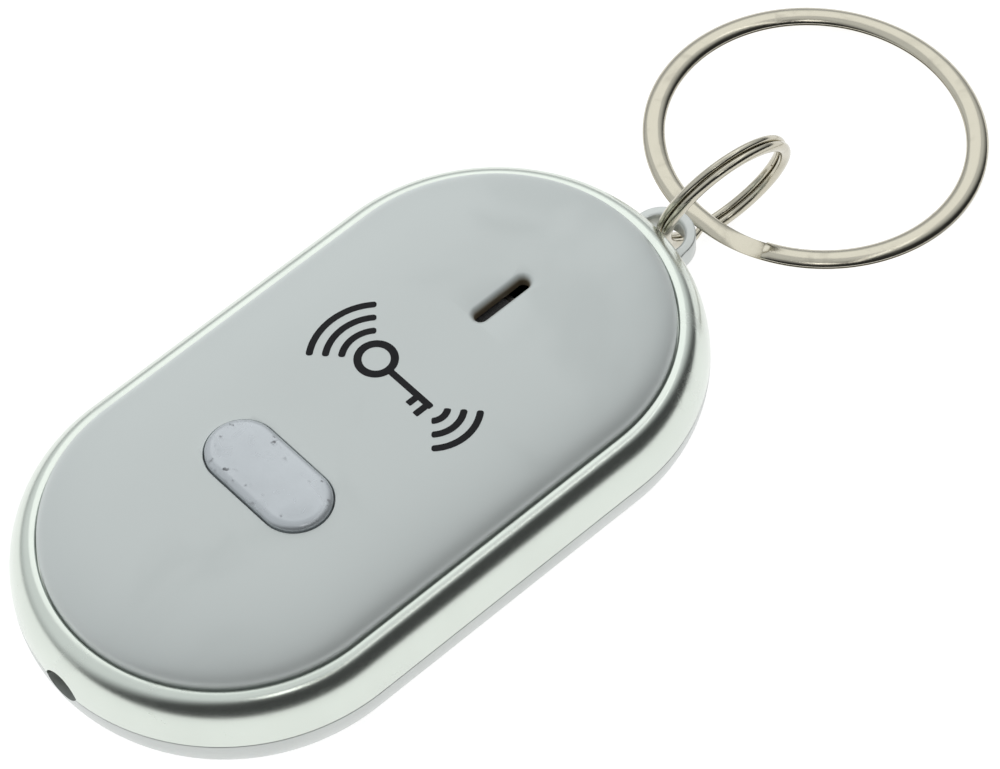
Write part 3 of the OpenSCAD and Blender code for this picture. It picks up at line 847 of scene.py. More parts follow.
def felt_fibre():
    """Black felt: short fibres in every direction."""
    material, tree, shader, place = finish("felt_fibre")
    fibres = add(tree, "TexNoise", Scale=5200.0, Detail=6.0, Roughness=0.7, Distortion=2.5)
    join(tree, place, fibres.inputs["Vector"])
    black = tint(tree, fibres.outputs["Fac"], (0.006, 0.006, 0.007), (0.05, 0.05, 0.052))
    join(tree, black, shader.inputs["Base Color"])
    shader.inputs["Sheen Weight"].default_value = 0.5
    join(tree, spread(tree, fibres.outputs["Fac"], 0.2, 0.8, 0.85, 1.0), shader.inputs["Roughness"])
    relief(tree, shader, fibres.outputs["Fac"], 0.08)
    return material


# Finishes that need only their own values: base, dark, roughness, then what differs from the usual.
PLAIN_FINISHES = {
    "screw_steel": ((0.42, 0.42, 0.43), (0.2, 0.19, 0.18), 0.32, {"metallic": 1.0, "grain_depth": 0.006}),
    "black_resin": ((0.012, 0.012, 0.013), (0.03, 0.03, 0.03), 0.3, {"mottle": 900.0, "grain_depth": 0.01}),
    "switch_black": ((0.02, 0.02, 0.021), (0.045, 0.045, 0.045), 0.5, {"grain_depth": 0.008}),
    "tinned_steel": ((0.72, 0.71, 0.68), (0.45, 0.44, 0.42), 0.26, {"metallic": 1.0, "mottle": 1200.0}),
    "plunger_white": ((0.78, 0.77, 0.73), (0.6, 0.58, 0.52), 0.45, {"mottle": 500.0}),
    "capsule_can": ((0.75, 0.75, 0.74), (0.5, 0.5, 0.5), 0.24, {"metallic": 1.0, "mottle": 700.0}),
    "ferrite": ((0.05, 0.048, 0.047), (0.1, 0.095, 0.09), 0.55, {"grain_depth": 0.012, "mottle": 1400.0}),
    "chip_black": ((0.018, 0.018, 0.02), (0.05, 0.05, 0.05), 0.45, {"mottle": 1500.0}),
    "chip_tan": ((0.42, 0.28, 0.15), (0.62, 0.6, 0.56), 0.4, {"mottle": 1200.0}),
    "foam": ((0.035, 0.035, 0.037), (0.09, 0.09, 0.09), 0.9, {"grain": 3500.0, "grain_depth": 0.06}),
    "disc_brass": ((0.78, 0.56, 0.22), (0.5, 0.33, 0.12), 0.22, {"metallic": 1.0, "mottle": 260.0}),
    "ceramic": ((0.8, 0.78, 0.7), (0.6, 0.56, 0.46), 0.5, {"mottle": 500.0, "grain_depth": 0.008}),
    "wire_jacket": ((0.55, 0.02, 0.02), (0.3, 0.01, 0.01), 0.38, {"mottle": 900.0}),
    "cell_steel": ((0.74, 0.73, 0.7), (0.52, 0.51, 0.48), 0.2,
                   {"metallic": 1.0, "mottle": 240.0, "grain": 16000.0}),
    "contact_metal": ((0.8, 0.72, 0.5), (0.6, 0.5, 0.3), 0.25, {"metallic": 1.0, "mottle": 800.0}),
    "lamp_die": ((0.85, 0.72, 0.2), (0.7, 0.55, 0.1), 0.5, {"mottle": 2000.0}),
}


SPECIAL_FINISHES = {
    "plate": plate_paint, "front_casing": casing_metal, "back_casing": back_paint, "button": button_paint,
    "print": ink, "lamp_epoxy": lamp_epoxy, "board": board_mask, "copper_wire": enamelled_copper,
    "felt": felt_fibre,
}
MADE = {}


def material_of(slot):
    """The finish of a slot, made the first time that it is asked for."""
    if slot in MADE:
        return MADE[slot]
    if slot in SPECIAL_FINISHES:
        MADE[slot] = SPECIAL_FINISHES[slot]()
    else:
        base, dark, rough, rest = PLAIN_FINISHES[slot]
        MADE[slot] = finished(slot, base, dark, rough, **rest)
    return MADE[slot]


# ---- shapes of the pieces, in millimetres ----


# The four screws of the back, their posts, and the collars round their heads.
SCREW_HEAD_R = 1.7
SCREW_HOLE_R = 1.05
SCREW_BORE_R = 0.88
HEAD_ROOM = 0.15
HEAD_DEPTH = 2.0
POST_R = 2.0
COLLAR_R = 2.8
COLLAR_TOP = 4.6
# How far above the floor the collars and the posts start, where the wall's rounding holds them.
COLLAR_LIFT, POST_LIFT = 0.05, 0.06
# The battery bay, its door and the post for the door's screw.
BAY_WALL = 0.9
BAY_TOP = 4.3
DOOR_SEAT = 1.1
DOOR_GAP = 0.1
DOOR_LIP = 0.12
DOOR_HEAD = 0.02
BAY_LOW = 0.5
DOOR_POST_R, DOOR_POST_LOW, DOOR_POST_TOP = 1.7, 1.02, 4.2
DOOR_BORE_R, DOOR_BORE_TOP = 0.75, 3.7
# Grip lines of the door: how far the middle one is from its end, how far apart they are, and their size.
GRIP_PLACE, GRIP_STEP = 4.6, 1.1
GRIP_W, GRIP_L, GRIP_DEPTH = 0.5, 5.2, 0.22
# The wall round the sounder's disc.
SOUNDER_GAP, SOUNDER_WALL, SOUNDER_WALL_H = 0.15, 0.75, 1.2
# The sounder's holes, the circle that six of them stand on, and their countersink.
HOLE_R, HOLE_CIRCLE_R, HOLE_SINK = 0.6, 3.2, 0.16
# The front casing's ledge and tongue, and its bosses over the posts.
LEDGE_W, LEDGE_T = 2.4, 0.9
SLOT_PROUD = 0.01
CHAMFER = 0.06
TONGUE_GAP, TONGUE_LEAN = 0.08, 0.8
BOSS_R, BOSS_GAP = 2.1, 0.02
# The lens-shaped opening at the lamp end, and the round room for the lamp.
OPENING_W, OPENING_H = 3.3, 2.2
LAMP_ROOM_R, LAMP_ROOM_L = 1.7, 4
# How deep the ink's underside lies in the plate.
INK_DEPTH = 0.03
# Winding of the split rings: mesh rings for each degree and in the step, overlap at the ends, and cut edges.
WIRE_STEPS, STEP_PIECES = 0.4, 14
OVERLAP = math.radians(30)
CUT_EDGE = 0.07
# The lug's underside and top.
LUG_LOW, LUG_TOP = 3.0, 4.8
# How far a solid reaches into another that it is joined to, and how far a cutter reaches past what it cuts.
SINK = 0.1
PAST = 1


def crown_height(x, y, crown):
    """Height of the face plate's top at a place on it."""
    radius = math.hypot(x, max(abs(y) - SPINE, 0.0))
    tilt = math.acos(min((radius / PLATE_R) ** 2, 1.0))
    return PLATE.high.z - crown * (1 - math.sin(tilt))


def crown_profile(radius, crown, top, steps=26):
    """(radius, z) points of a crown, from its edge to the middle."""
    turns = [math.radians(90 * k / steps) for k in range(steps + 1)]
    return [(radius * math.sqrt(max(math.cos(t), 0.0)), top - crown * (1 - math.sin(t))) for t in turns]


def lens_block(width, height, y_low, y_high, z):
    """A block along Y with the lens-shaped outline of the lamp opening."""
    radius = (width ** 2 + height ** 2) / (4 * height)
    reach = math.degrees(math.asin(width / 2 / radius))
    drop = radius - height / 2
    points = arc((0, z - drop), radius, 90 + reach, 90 - reach, 14)
    points += arc((0, z + drop), radius, -90 + reach, -90 - reach, 14)[1:-1]
    bm = bmesh.new()
    loop = outline(bm, points, place=at(0, y_low))
    bmesh.ops.contextual_create(bm, geom=edges_of(loop))
    far = bmesh.ops.extrude_face_region(bm, geom=bm.faces[:])["geom"]
    bmesh.ops.translate(bm, vec=(0, y_high - y_low, 0), verts=verts_of(far))
    return tidy(bm)


def lamp_cutters():
    """The lens-shaped opening in the end of the case and the round room behind it."""
    lamp_z = LAMP.mid.z
    room = turned([(0, 0), (LAMP_ROOM_R, 0), (LAMP_ROOM_R, LAMP_ROOM_L), (0, LAMP_ROOM_L)],
                  place=at(0, LAMP.low.y - SINK, lamp_z) @ LAID_IN)
    return [lens_block(OPENING_W, OPENING_H, -HALF_L - PAST, LAMP.low.y + SINK / 2, lamp_z), room]


def screw_places():
    """Middles of the four case screws."""
    x = CASE_SCREW.high.x - SCREW_HEAD_R
    y = CASE_SCREW.high.y - SCREW_HEAD_R
    return [(sx * x, sy * y) for sx in (-1, 1) for sy in (-1, 1)]


def lug_bar(s):
    """The lug with its hole, as a bar that flares into the end of the casing."""
    hole_r, wall, edge = mm(s.lug_hole) / 2, mm(s.lug_wall), mm(s.lug_edge)
    outer = hole_r + wall
    middle = BACK.high.y - outer
    low, high = LUG_LOW, LUG_TOP
    root = HALF_L - mm(s.wall) + 0.3
    buried, foot, flare_r = (outer + 2.4, root - 0.65, 0), (outer + 0.25, HALF_L), 1.8
    side = rounded([(1.5, root, 0), buried, (*foot, flare_r), (outer, middle, 0)])
    points = side[:-1] + arc((0, middle), outer, 0, 180, 36) + [(-x, y) for x, y in reversed(side[:-1])]
    bm = bmesh.new()
    verts = [bm.verts.new((x, y, low)) for x, y in points]
    bm.faces.new(verts)
    top = bmesh.ops.extrude_face_region(bm, geom=bm.faces[:])["geom"]
    bmesh.ops.translate(bm, vec=(0, 0, high - low), verts=verts_of(top))
    tidy(bm)
    level = [e for e in bm.edges
             if abs(e.verts[0].co.z - e.verts[1].co.z) < MERGE and e.verts[0].co.y > root + SINK]
    rounded_edges(bm, edge, 4, edges=level)
    flare = arc((hole_r + edge, low + edge), edge, 180, 270, 6)[::-1] if edge else []
    points = [(0, low - PAST), (hole_r + edge, low - PAST)] + flare
    points += arc((hole_r + edge, high - edge), edge, 180, 90, 6)
    points += [(hole_r + edge, high + PAST), (0, high + PAST)]
    hole = turned(points, place=at(0, middle), steps=64)
    return combine(bm, [hole])


def back_bowl(s):
    """The floor and wall of the back casing, rounded into each other."""
    wall, floor, turn = mm(s.wall), mm(s.floor), mm(s.back_round)
    flat, edge = HALF_W - turn, min(mm(s.seam_edge), SEAM_Z - turn)
    inner = turn - wall
    floor_turn = math.degrees(math.asin((turn - floor) / inner))
    points = [(0, 0)] + arc((flat, turn), turn, -90, 0, 20)
    points += arc((HALF_W - edge, SEAM_Z - edge), edge, 0, 90, 4) + [(HALF_W - wall, SEAM_Z)]
    points += arc((flat, turn), inner, 0, -floor_turn, 14) + [(0, floor)]
    return oval_swept(points, SPINE, s.end_steps, s.side_steps)


def door_recess(place):
    """Room for the battery door, rolled at its mouth."""
    width, size = DOOR.size.x + 2 * DOOR_GAP, DOOR.size.y + 2 * DOOR_GAP
    mouth, top = width / 2 + DOOR_LIP, DOOR.high.z + DOOR_HEAD
    points = [(0, -PAST), (mouth, -PAST)] + arc((mouth, DOOR_LIP), DOOR_LIP, -90, -180, 5)
    points += [(width / 2, top), (0, top)]
    return oval_swept(points, (size - width) / 2, 48, 8, place)


def back_casing_shape(s):
    """The back casing with its lug, screw posts, battery bay and sounder seat."""
    floor = mm(s.floor)
    bay_w, bay_l = DOOR.size.x - 2 * DOOR_SEAT, DOOR.size.y - 2 * DOOR_SEAT
    at_door = at(0, DOOR_Y)
    sounder_r = DISC.size.x / 2 + SOUNDER_GAP
    joined = [solid_oval(bay_w + 2 * BAY_WALL, bay_l + 2 * BAY_WALL, floor - SINK, BAY_TOP, at_door),
              cylinder(sounder_r + SOUNDER_WALL, floor - SINK, floor + SOUNDER_WALL_H, 0, DISC_Y, 96)]
    for x, y in screw_places():
        joined += [cylinder(COLLAR_R, floor + COLLAR_LIFT, COLLAR_TOP, x, y),
                   cylinder(POST_R, floor + POST_LIFT, SEAM_Z - SINK, x, y)]
    shell = combine(back_bowl(s), joined, "UNION")
    cutters = [door_recess(at_door), solid_oval(bay_w, bay_l, BAY_LOW, SEAM_Z + PAST, at_door),
               cylinder(sounder_r, floor, SEAM_Z, 0, DISC_Y, 96)]
    for x, y in screw_places():
        cutters += [cylinder(SCREW_HOLE_R, -PAST, SEAM_Z + PAST, x, y),
                    cylinder(SCREW_HEAD_R + HEAD_ROOM, -PAST, HEAD_DEPTH, x, y)]
    shell = combine(shell, cutters + sound_hole_cutters(floor) + lamp_cutters())
    post_x = DOOR_SCREW.mid.x
    post = combine(cylinder(DOOR_POST_R, DOOR_POST_LOW, DOOR_POST_TOP, post_x, DOOR_Y),
                   [cylinder(DOOR_BORE_R, 0, DOOR_BORE_TOP, post_x, DOOR_Y)])
    post = combine(post, [solid_oval(bay_w + BAY_WALL, bay_l, 0, SEAM_Z, at_door)], "INTERSECT")
    return combine(shell, [post, lug_bar(s)], "UNION")


def sound_hole_cutters(floor):
    """One hole in the middle of the sounder and six round it, each with a countersunk edge outside."""
    turns = [k * math.pi / 3 for k in range(6)]
    places = [(0, 0)] + [(HOLE_CIRCLE_R * math.cos(t), HOLE_CIRCLE_R * math.sin(t)) for t in turns]
    mouth, top = HOLE_R + HOLE_SINK, floor + PAST
    points = [(0, -PAST), (mouth, -PAST), (mouth, 0), (HOLE_R, HOLE_SINK), (HOLE_R, top), (0, top)]
    return [turned(points, at(x, DISC_Y + y), 32) for x, y in places]


def front_casing_shape(s):
    """The front casing: shoulder, groove, ledge, tongue and screw bosses."""
    lean, rise = mm(s.shoulder_w), mm(s.shoulder_h)
    edge, lip = mm(s.seam_edge), mm(s.crest_edge)
    groove_x, crest_z = PLATE_R + mm(s.groove), SEAM_Z + rise
    ledge_in, ledge_low = PLATE_R - LEDGE_W, LEDGE_Z - LEDGE_T
    tongue_out = HALF_W - mm(s.wall) - TONGUE_GAP
    tongue_in = tongue_out - mm(s.tongue)
    points = arc((HALF_W - edge, SEAM_Z + edge), edge, -90, 0, 4)
    for k in range(1, 22):
        turn = math.radians(90 * k / 22)
        points.append((HALF_W - lean * (1 - math.cos(turn)), SEAM_Z + edge + (rise - edge) * math.sin(turn)))
    points += arc((groove_x + lip, crest_z - lip), lip, 90, 180, 6)
    points += [(groove_x, LEDGE_Z), (ledge_in, LEDGE_Z), (ledge_in, ledge_low),
               (tongue_in - TONGUE_LEAN, ledge_low), (tongue_in, ledge_low - TONGUE_LEAN),
               (tongue_in, FRONT.low.z), (tongue_out, FRONT.low.z), (tongue_out, SEAM_Z)]
    shell = oval_swept(points, SPINE, s.end_steps, s.side_steps)
    width, size = 2 * tongue_out - BOSS_GAP, 2 * (SPINE + tongue_out) - BOSS_GAP
    bosses = []
    for x, y in screw_places():
        inside = solid_oval(width, size, SEAM_Z - PAST, LEDGE_Z, end_steps=64)
        boss = cylinder(BOSS_R, SEAM_Z, LEDGE_Z - BOSS_GAP, x, y)
        bosses.append(combine(boss, [inside], "INTERSECT"))
    shell = combine(shell, bosses, "UNION")
    bores = [cylinder(SCREW_BORE_R, SEAM_Z - PAST, CASE_SCREW.high.z + SINK, x, y) for x, y in screw_places()]
    return combine(shell, bores + lamp_cutters())


def face_plate_shape(s):
    """The crowned plate with its rolled slot and the opening for the button."""
    crown, thick, rim = mm(s.crown), mm(s.thickness), mm(s.rim)
    inner = PLATE_R - rim
    top = PLATE.high.z
    points = crown_profile(PLATE_R, crown, top)[::-1] + [(PLATE_R, LEDGE_Z), (inner, LEDGE_Z)]
    points += crown_profile(inner, crown, top - thick)
    plate = oval_swept(points, SPINE, 72, 48)
    gap, lip = mm(s.button_gap), mm(s.button_lip)
    b = settings("button")
    across = at(0, BUTTON_Y) @ ACROSS
    face = crown_height(0, BUTTON_Y, crown)
    room = 2 * (gap + lip)
    opening = solid_oval(mm(b.cap_w) + room, mm(b.cap_l) + room, LEDGE_Z, face, across, lip, 40)
    slot_y = HALF_L - mm(s.slot_from_end)
    slot_top = crown_height(0, slot_y, crown) + SLOT_PROUD
    slot = solid_oval(mm(s.slot_w), mm(s.slot_l), LEDGE_Z, slot_top, at(0, slot_y), mm(s.slot_lip), 40)
    return combine(plate, [opening, slot])


def button_shape(s):
    """The cap: a flat top with a rolled edge, straight sides, and a flange under the plate."""
    half = mm(s.cap_w) / 2
    flange = (CAP.size.x - mm(s.cap_l)) / 2
    land, drop = mm(s.land), mm(s.drop)
    top, base = CAP.high.z, CAP.low.z
    flat, rise = half - land, 0.09
    turns = [math.radians(90 * k / 12) for k in range(13)]
    rolled = [(flat + land * math.cos(t), top - rise - drop * (1 - math.sin(t))) for t in turns]
    crest = [(flat * (1 - k / 5), top - rise * (1 - k / 5) ** 2) for k in range(1, 6)]
    flange_top = base + mm(s.flange_t)
    outer = half + flange
    points = [(0, base), (outer - CHAMFER, base), (outer, base + CHAMFER), (outer, flange_top)]
    points += [(half, flange_top)] + rolled + crest
    return oval_swept(points, (mm(s.cap_l) - mm(s.cap_w)) / 2, 48, 12, at(0, BUTTON_Y) @ ACROSS)


def rounded_corners(bm, radius):
    """Rounds the corners of a flat sheet."""
    corners = [v for v in bm.verts if len(v.link_edges) == 2]
    bmesh.ops.bevel(bm, geom=corners, offset=radius, segments=4, profile=0.5, affect="VERTICES", material=-1)


def band(radius, width, start, end, x, y, height):
    """A flat ring or arc of ink, square ends rounded, as a thin solid."""
    bm = bmesh.new()
    half, full = width / 2, end - start >= 360
    first = [bm.verts.new((radius - half, 0, 0)), bm.verts.new((radius + half, 0, 0))]
    edge = bm.edges.new(first)
    turn_in = Matrix.Rotation(math.radians(start), 4, "Z")
    bmesh.ops.transform(bm, matrix=turn_in, verts=first)
    bmesh.ops.spin(bm, geom=first + [edge], cent=(0, 0, 0), axis=UP, angle=math.radians(end - start),
                   steps=64 if full else 20, use_merge=full)
    if not full:
        rounded_corners(bm, half * 0.8)
    bmesh.ops.translate(bm, vec=(x, y, 0), verts=bm.verts)
    return raised(bm, height)


def bar(x, y, width, size_y, height):
    """A flat rectangle of ink with rounded corners, cut across so that it can follow the crown."""
    bm = bmesh.new()
    bmesh.ops.create_grid(bm, x_segments=10, y_segments=2, size=0.5)
    bmesh.ops.transform(bm, matrix=at(x, y) @ Matrix.Diagonal((width, size_y, 1, 1)), verts=bm.verts)
    rounded_corners(bm, min(width, size_y) * 0.3)
    return raised(bm, height)


def raised(bm, height):
    """A flat sheet made a solid of a height, its top at that height."""
    top = bmesh.ops.extrude_face_region(bm, geom=bm.faces[:])["geom"]
    bmesh.ops.translate(bm, vec=(0, 0, height), verts=verts_of(top))
    bmesh.ops.recalc_face_normals(bm, faces=bm.faces)
    return bm


def mark_shape(s, crown):
    """A key between sound arcs, laid on the crown of the plate."""
    line, bow, shaft, step = mm(s.stroke), mm(s.bow_r), mm(s.shaft_l), mm(s.arc_step)
    half, y, height = math.degrees(s.arc_half), mm(s.middle_y), 1.0
    bow_x = -shaft / 2
    tip_x = bow_x + bow + shaft
    key = combine(band(bow, line * 1.15, 0, 360, bow_x, y, height), [
        bar(bow_x + bow + shaft / 2, y, shaft, line, height),
        bar(tip_x - line * 0.7, y - line * 1.35, line, line * 2.2, height),
        bar(tip_x - line * 2.7, y - line * 1.1, line, line * 1.7, height),
    ], "UNION")
    parts = [key]
    for k in range(1, 4):
        parts.append(band(bow + k * step, line, 180 - half, 180 + half, bow_x, y, height))
        parts.append(band(k * step, line, -half, half, tip_x, y, height))
    whole = bmesh.new()
    for part in parts:
        gather(whole, part)
    for v in whole.verts:
        v.co.z = crown_height(v.co.x, v.co.y, crown) + (mm(s.ink) if v.co.z > height / 2 else -INK_DEPTH)
    return whole


def wire_section(width, thick, fullness, steps=28):
    """Outline of flat split-ring wire, crowned and with rounded corners. A higher fullness is squarer."""
    points = []
    for k in range(steps):
        turn = math.tau * (k + 0.5) / steps
        across, up = math.cos(turn), math.sin(turn)
        points.append((math.copysign(abs(across) ** (2 / fullness), across) * width / 2,
                       math.copysign(abs(up) ** (2 / fullness), up) * thick / 2))
    return points


def split_ring_shape(diameter, width, thick, fullness, dome, start, r, place):
    """Flat wire wound two turns, with a smooth step between the turns and cut ends."""
    middle = (diameter - width) / 2
    rise = thick + mm(r.turn_gap)
    bm = bmesh.new()
    geom = outline(bm, wire_section(width, thick, fullness),
                   place=Matrix.Rotation(start, 4, "Z") @ at(middle, 0, rise / 2))

    def wind(geom, turn, drop):
        steps = max(int(math.degrees(turn) * WIRE_STEPS), 1)
        fall = (0, 0, -drop / steps)
        made = bmesh.ops.spin(bm, geom=geom, cent=(0, 0, 0), axis=UP, dvec=fall, angle=turn, steps=steps)
        return made["geom_last"]

    first = edges_of(geom)
    geom = wind(geom, r.step_start, 0.0)
    for k in range(STEP_PIECES):
        level = [0.5 + 0.5 * math.cos(math.pi * j / STEP_PIECES) for j in (k, k + 1)]
        geom = wind(geom, r.step_width / STEP_PIECES, rise * (level[0] - level[1]))
    geom = wind(geom, r.step_start + OVERLAP - r.step_width, 0.0)
    last = edges_of(geom)
    ends = [bmesh.ops.contextual_create(bm, geom=loop)["faces"][0] for loop in (first, last)]
    bmesh.ops.recalc_face_normals(bm, faces=bm.faces)
    for v in bm.verts:
        across = (math.hypot(v.co.x, v.co.y) - middle) / (width / 2)
        v.co.z *= math.sqrt(max(1 - dome * across * across, 0.0))
    rims = [e for face in ends for e in face.edges]
    rounded_edges(bm, CUT_EDGE, 2, edges=rims)
    bmesh.ops.transform(bm, matrix=place, verts=bm.verts)
    return bm


def screw_shape(head_r, head_h, shank_r, size, place):
    """A pan-head screw, head down, with a cross recess and a threaded shank."""
    dome, pitch, root_r = 0.22 * head_h, 0.5, shank_r * 0.84
    points = [(0, 0), (head_r * 0.7, 0)] + arc((head_r - dome, dome), dome, -90, 0, 4)
    points += [(head_r, head_h), (shank_r, head_h)]
    for k in range(int((size - head_h - 0.6) / pitch)):
        z = head_h + 0.25 + k * pitch
        crest = z + pitch / 2
        points += [(root_r, z + 0.06), (shank_r, crest - 0.04), (shank_r, crest + 0.04)]
        points.append((root_r, z + pitch - 0.06))
    points += [(shank_r * 0.5, size), (0, size)]
    cuts = []
    for turn in (0, math.pi / 2):
        slot = bmesh.new()
        bmesh.ops.create_cube(slot, size=1)
        block = Matrix.Diagonal((head_r * 1.25, head_r * 0.27, head_h, 1))
        bmesh.ops.transform(slot, matrix=Matrix.Rotation(turn, 4, "Z") @ block, verts=slot.verts)
        cuts.append(slot)
    bm = combine(turned(points, steps=40), cuts)
    bmesh.ops.transform(bm, matrix=place, verts=bm.verts)
    return bm


def door_shape():
    """The battery door: a flush oval plate with a screw hole and three grip lines."""
    width, size, thick = DOOR.size.x, DOOR.size.y, DOOR.high.z
    radius, edge = width / 2, 0.14
    points = [(0, 0), (radius - edge, 0)] + arc((radius - edge, edge), edge, -90, 0, 5)[1:]
    points += [(radius, thick), (0, thick)]
    door = oval_swept(points, (size - width) / 2, 64, 10, at(0, DOOR_Y))
    head_r, head_h, hole_r = DOOR_SCREW.size.x / 2 + HEAD_ROOM, 0.6, 0.92
    mouth, top = head_r + SINK, thick + PAST
    sink = [(0, -PAST), (mouth, -PAST), (mouth, 0), (head_r, SINK), (head_r, head_h), (hole_r, head_h),
            (hole_r, top), (0, top)]
    cuts = [turned(sink, at(DOOR_SCREW.mid.x, DOOR_Y), 48)]
    for k in (-1, 0, 1):
        place = at(0, DOOR.low.y + GRIP_PLACE + k * GRIP_STEP) @ ACROSS
        cuts.append(solid_oval(GRIP_W, GRIP_L, -PAST, GRIP_DEPTH, place, end_steps=10))
    return combine(door, cuts)


def lamp_shape():
    """A round epoxy lamp with its dome and flange, lying along Y."""
    radius, flange_r = 1.5, LAMP.size.x / 2
    size, flange_t = LAMP.size.y, 1.0
    rim = flange_r - CHAMFER
    points = [(0, 0), (rim, 0), (flange_r, CHAMFER), (flange_r, flange_t - CHAMFER), (rim, flange_t)]
    points += [(radius, flange_t)] + arc((0, size - radius), radius, 0, 90, 16)
    return turned(points, at(0, LAMP.high.y, LAMP.mid.z) @ LAID_OUT, 48)


def lamp_inside_shape():
    """The small post, dish and die cast inside the lamp."""
    points = [(0, 0.5), (0.5, 0.5), (0.5, 1.8), (0.75, 2.3), (0.62, 2.3), (0.32, 1.95), (0, 1.95)]
    return turned(points, at(0, LAMP.high.y, LAMP.mid.z) @ LAID_OUT, 32)


def capsule_shape():
    """The microphone's can: a rolled rim round its face and a groove near its foot."""
    radius, rim, foot, groove, hollow = CAPSULE.size.x / 2, 0.16, 0.1, 0.15, 0.06
    low, high = CAPSULE.low.z, CAPSULE.high.z
    points = [(0, low), (radius - foot, low), (radius, low + foot), (radius, low + 0.6),
              (radius - groove, low + 0.68), (radius - groove, low + 0.82), (radius, low + 0.9)]
    points += arc((radius - rim, high - rim), rim, 0, 90, 6)
    points += arc((radius - 2.2 * rim, high - rim * 0.9), rim * 0.8, 80, 180, 5)
    points += [(radius - 3.2 * rim, high - hollow), (0, high - hollow)]
    return turned(points, at(CAPSULE.mid.x, CAPSULE.mid.y), 64)


def felt_shape():
    """The felt on the microphone's face."""
    radius, edge, low = FELT.size.x / 2, 0.09, FELT.low.z - 0.06
    points = [(0, low), (radius, low)]
    points += arc((radius - edge, FELT.high.z - edge), edge, 0, 90, 4) + [(0, FELT.high.z)]
    return turned(points, at(0, FELT.mid.y), 48)


def cell_shape(node):
    """A button cell: the can with its rolled edge, the seal ring and the smaller cap."""
    box = NodeBox(node)
    low, high, radius = box.low.z, box.high.z, box.size.x / 2
    edge, lip, cap_edge, cap = 0.3, 0.2, 0.15, radius * 0.82
    can_top = high - 0.35
    seal = can_top - 0.08
    points = [(0, low), (radius - edge, low)] + arc((radius - edge, low + edge), edge, -90, 0, 6)[1:]
    points += arc((radius - lip, can_top - lip), lip, 0, 90, 5)
    points += [(cap + 0.25, can_top), (cap + 0.2, seal), (cap, seal)]
    points += arc((cap - cap_edge, high - cap_edge), cap_edge, 0, 90, 5) + [(0, high)]
    return turned(points, at(box.mid.x, box.mid.y), 64)


def winding_shape():
    """Turns of wire on the step-up coil, in rows."""
    box = NodeBox("boost_winding")
    outer, inner, wire_r = box.size.x / 2, 1.04, 0.1
    rows = int(box.size.z / (2 * wire_r))
    points = [(inner, box.low.z)]
    for k in range(rows):
        points += arc((outer - wire_r, box.low.z + wire_r * (2 * k + 1)), wire_r, -80, 80, 4)
    points.append((inner, box.low.z + 2 * wire_r * rows))
    return turned(points, at(box.mid.x, box.mid.y), 40)


# ---- one operator per piece or group ----


class BackCasing(bpy.types.Operator):
    """Builds the back casing with its lug, screw posts, battery bay and sounder seat"""

    bl_idname = "fob.back_casing"
    bl_label = "Back casing"

    def execute(self, context):
        shape = back_casing_shape(settings("casing"))
        piece("BackCasing", shape, material_of("back_casing"), "casing", ["back_shell"])
        return {"FINISHED"}


class FrontCasing(bpy.types.Operator):
    """Builds the front casing with its shoulder, groove, tongue and screw bosses"""

    bl_idname = "fob.front_casing"
    bl_label = "Front casing"

    def execute(self, context):
        shape, slot = front_casing_shape(settings("casing")), "front_casing"
        piece("FrontCasing", shape, material_of(slot), "casing", ["front_shell"])
        return {"FINISHED"}


class FacePlate(bpy.types.Operator):
    """Builds the crowned face plate with its sound slot and the opening for the button"""

    bl_idname = "fob.face_plate"
    bl_label = "Face plate"

    def execute(self, context):
        shape = face_plate_shape(settings("plate"))
        piece("FacePlate", shape, material_of("plate"), "casing", ["face_plate"], sharp=40)
        return {"FINISHED"}


class FaceMark(bpy.types.Operator):
    """Lays the printed pictogram on the face plate"""

    bl_idname = "fob.face_mark"
    bl_label = "Printed mark"

    def execute(self, context):
        shape = mark_shape(settings("mark"), mm(settings("plate").crown))
        piece("FaceMark", shape, material_of("print"), "casing")
        return {"FINISHED"}


class Button(bpy.types.Operator):
    """Builds the push button"""

    bl_idname = "fob.button"
    bl_label = "Button"

    def execute(self, context):
        shape = button_shape(settings("button"))
        piece("Button", shape, material_of("button"), "button", ["button_cap"])
        return {"FINISHED"}


class BatteryDoor(bpy.types.Operator):
    """Builds the battery door"""

    bl_idname = "fob.battery_door"
    bl_label = "Battery door"

    def execute(self, context):
        slot = "back_casing"
        piece("BatteryDoor", door_shape(), material_of(slot), "casing", ["battery_door"])
        return {"FINISHED"}


class Screws(bpy.types.Operator):
    """Builds the four case screws and the door's screw"""

    bl_idname = "fob.screws"
    bl_label = "Screws"

    def execute(self, context):
        door_place = [(DOOR_SCREW.mid.x, DOOR_Y)]
        kinds = [("DoorScrew", "door_screw", DOOR_SCREW, DOOR_SCREW.size.x / 2, 0.8, 0.74, door_place),
                 ("BackScrews", "case_screws", CASE_SCREW, SCREW_HEAD_R, 1.1, 0.86, screw_places())]
        for name, node, box, head_r, head_h, shank_r, places in kinds:
            whole = bmesh.new()
            for x, y in places:
                gather(whole, screw_shape(head_r, head_h, shank_r, box.size.z, at(x, y, box.low.z)))
            piece(name, whole, material_of("screw_steel"), "casing", [node])
        return {"FINISHED"}


class TorchLamp(bpy.types.Operator):
    """Builds the torch lamp with the die cast inside it"""

    bl_idname = "fob.torch_lamp"
    bl_label = "Torch lamp"

    def execute(self, context):
        slot = "lamp_epoxy"
        piece("TorchLamp", lamp_shape(), material_of(slot), "casing", ["torch_lamp"])
        piece("LampDie", lamp_inside_shape(), material_of("lamp_die"), "casing")
        return {"FINISHED"}


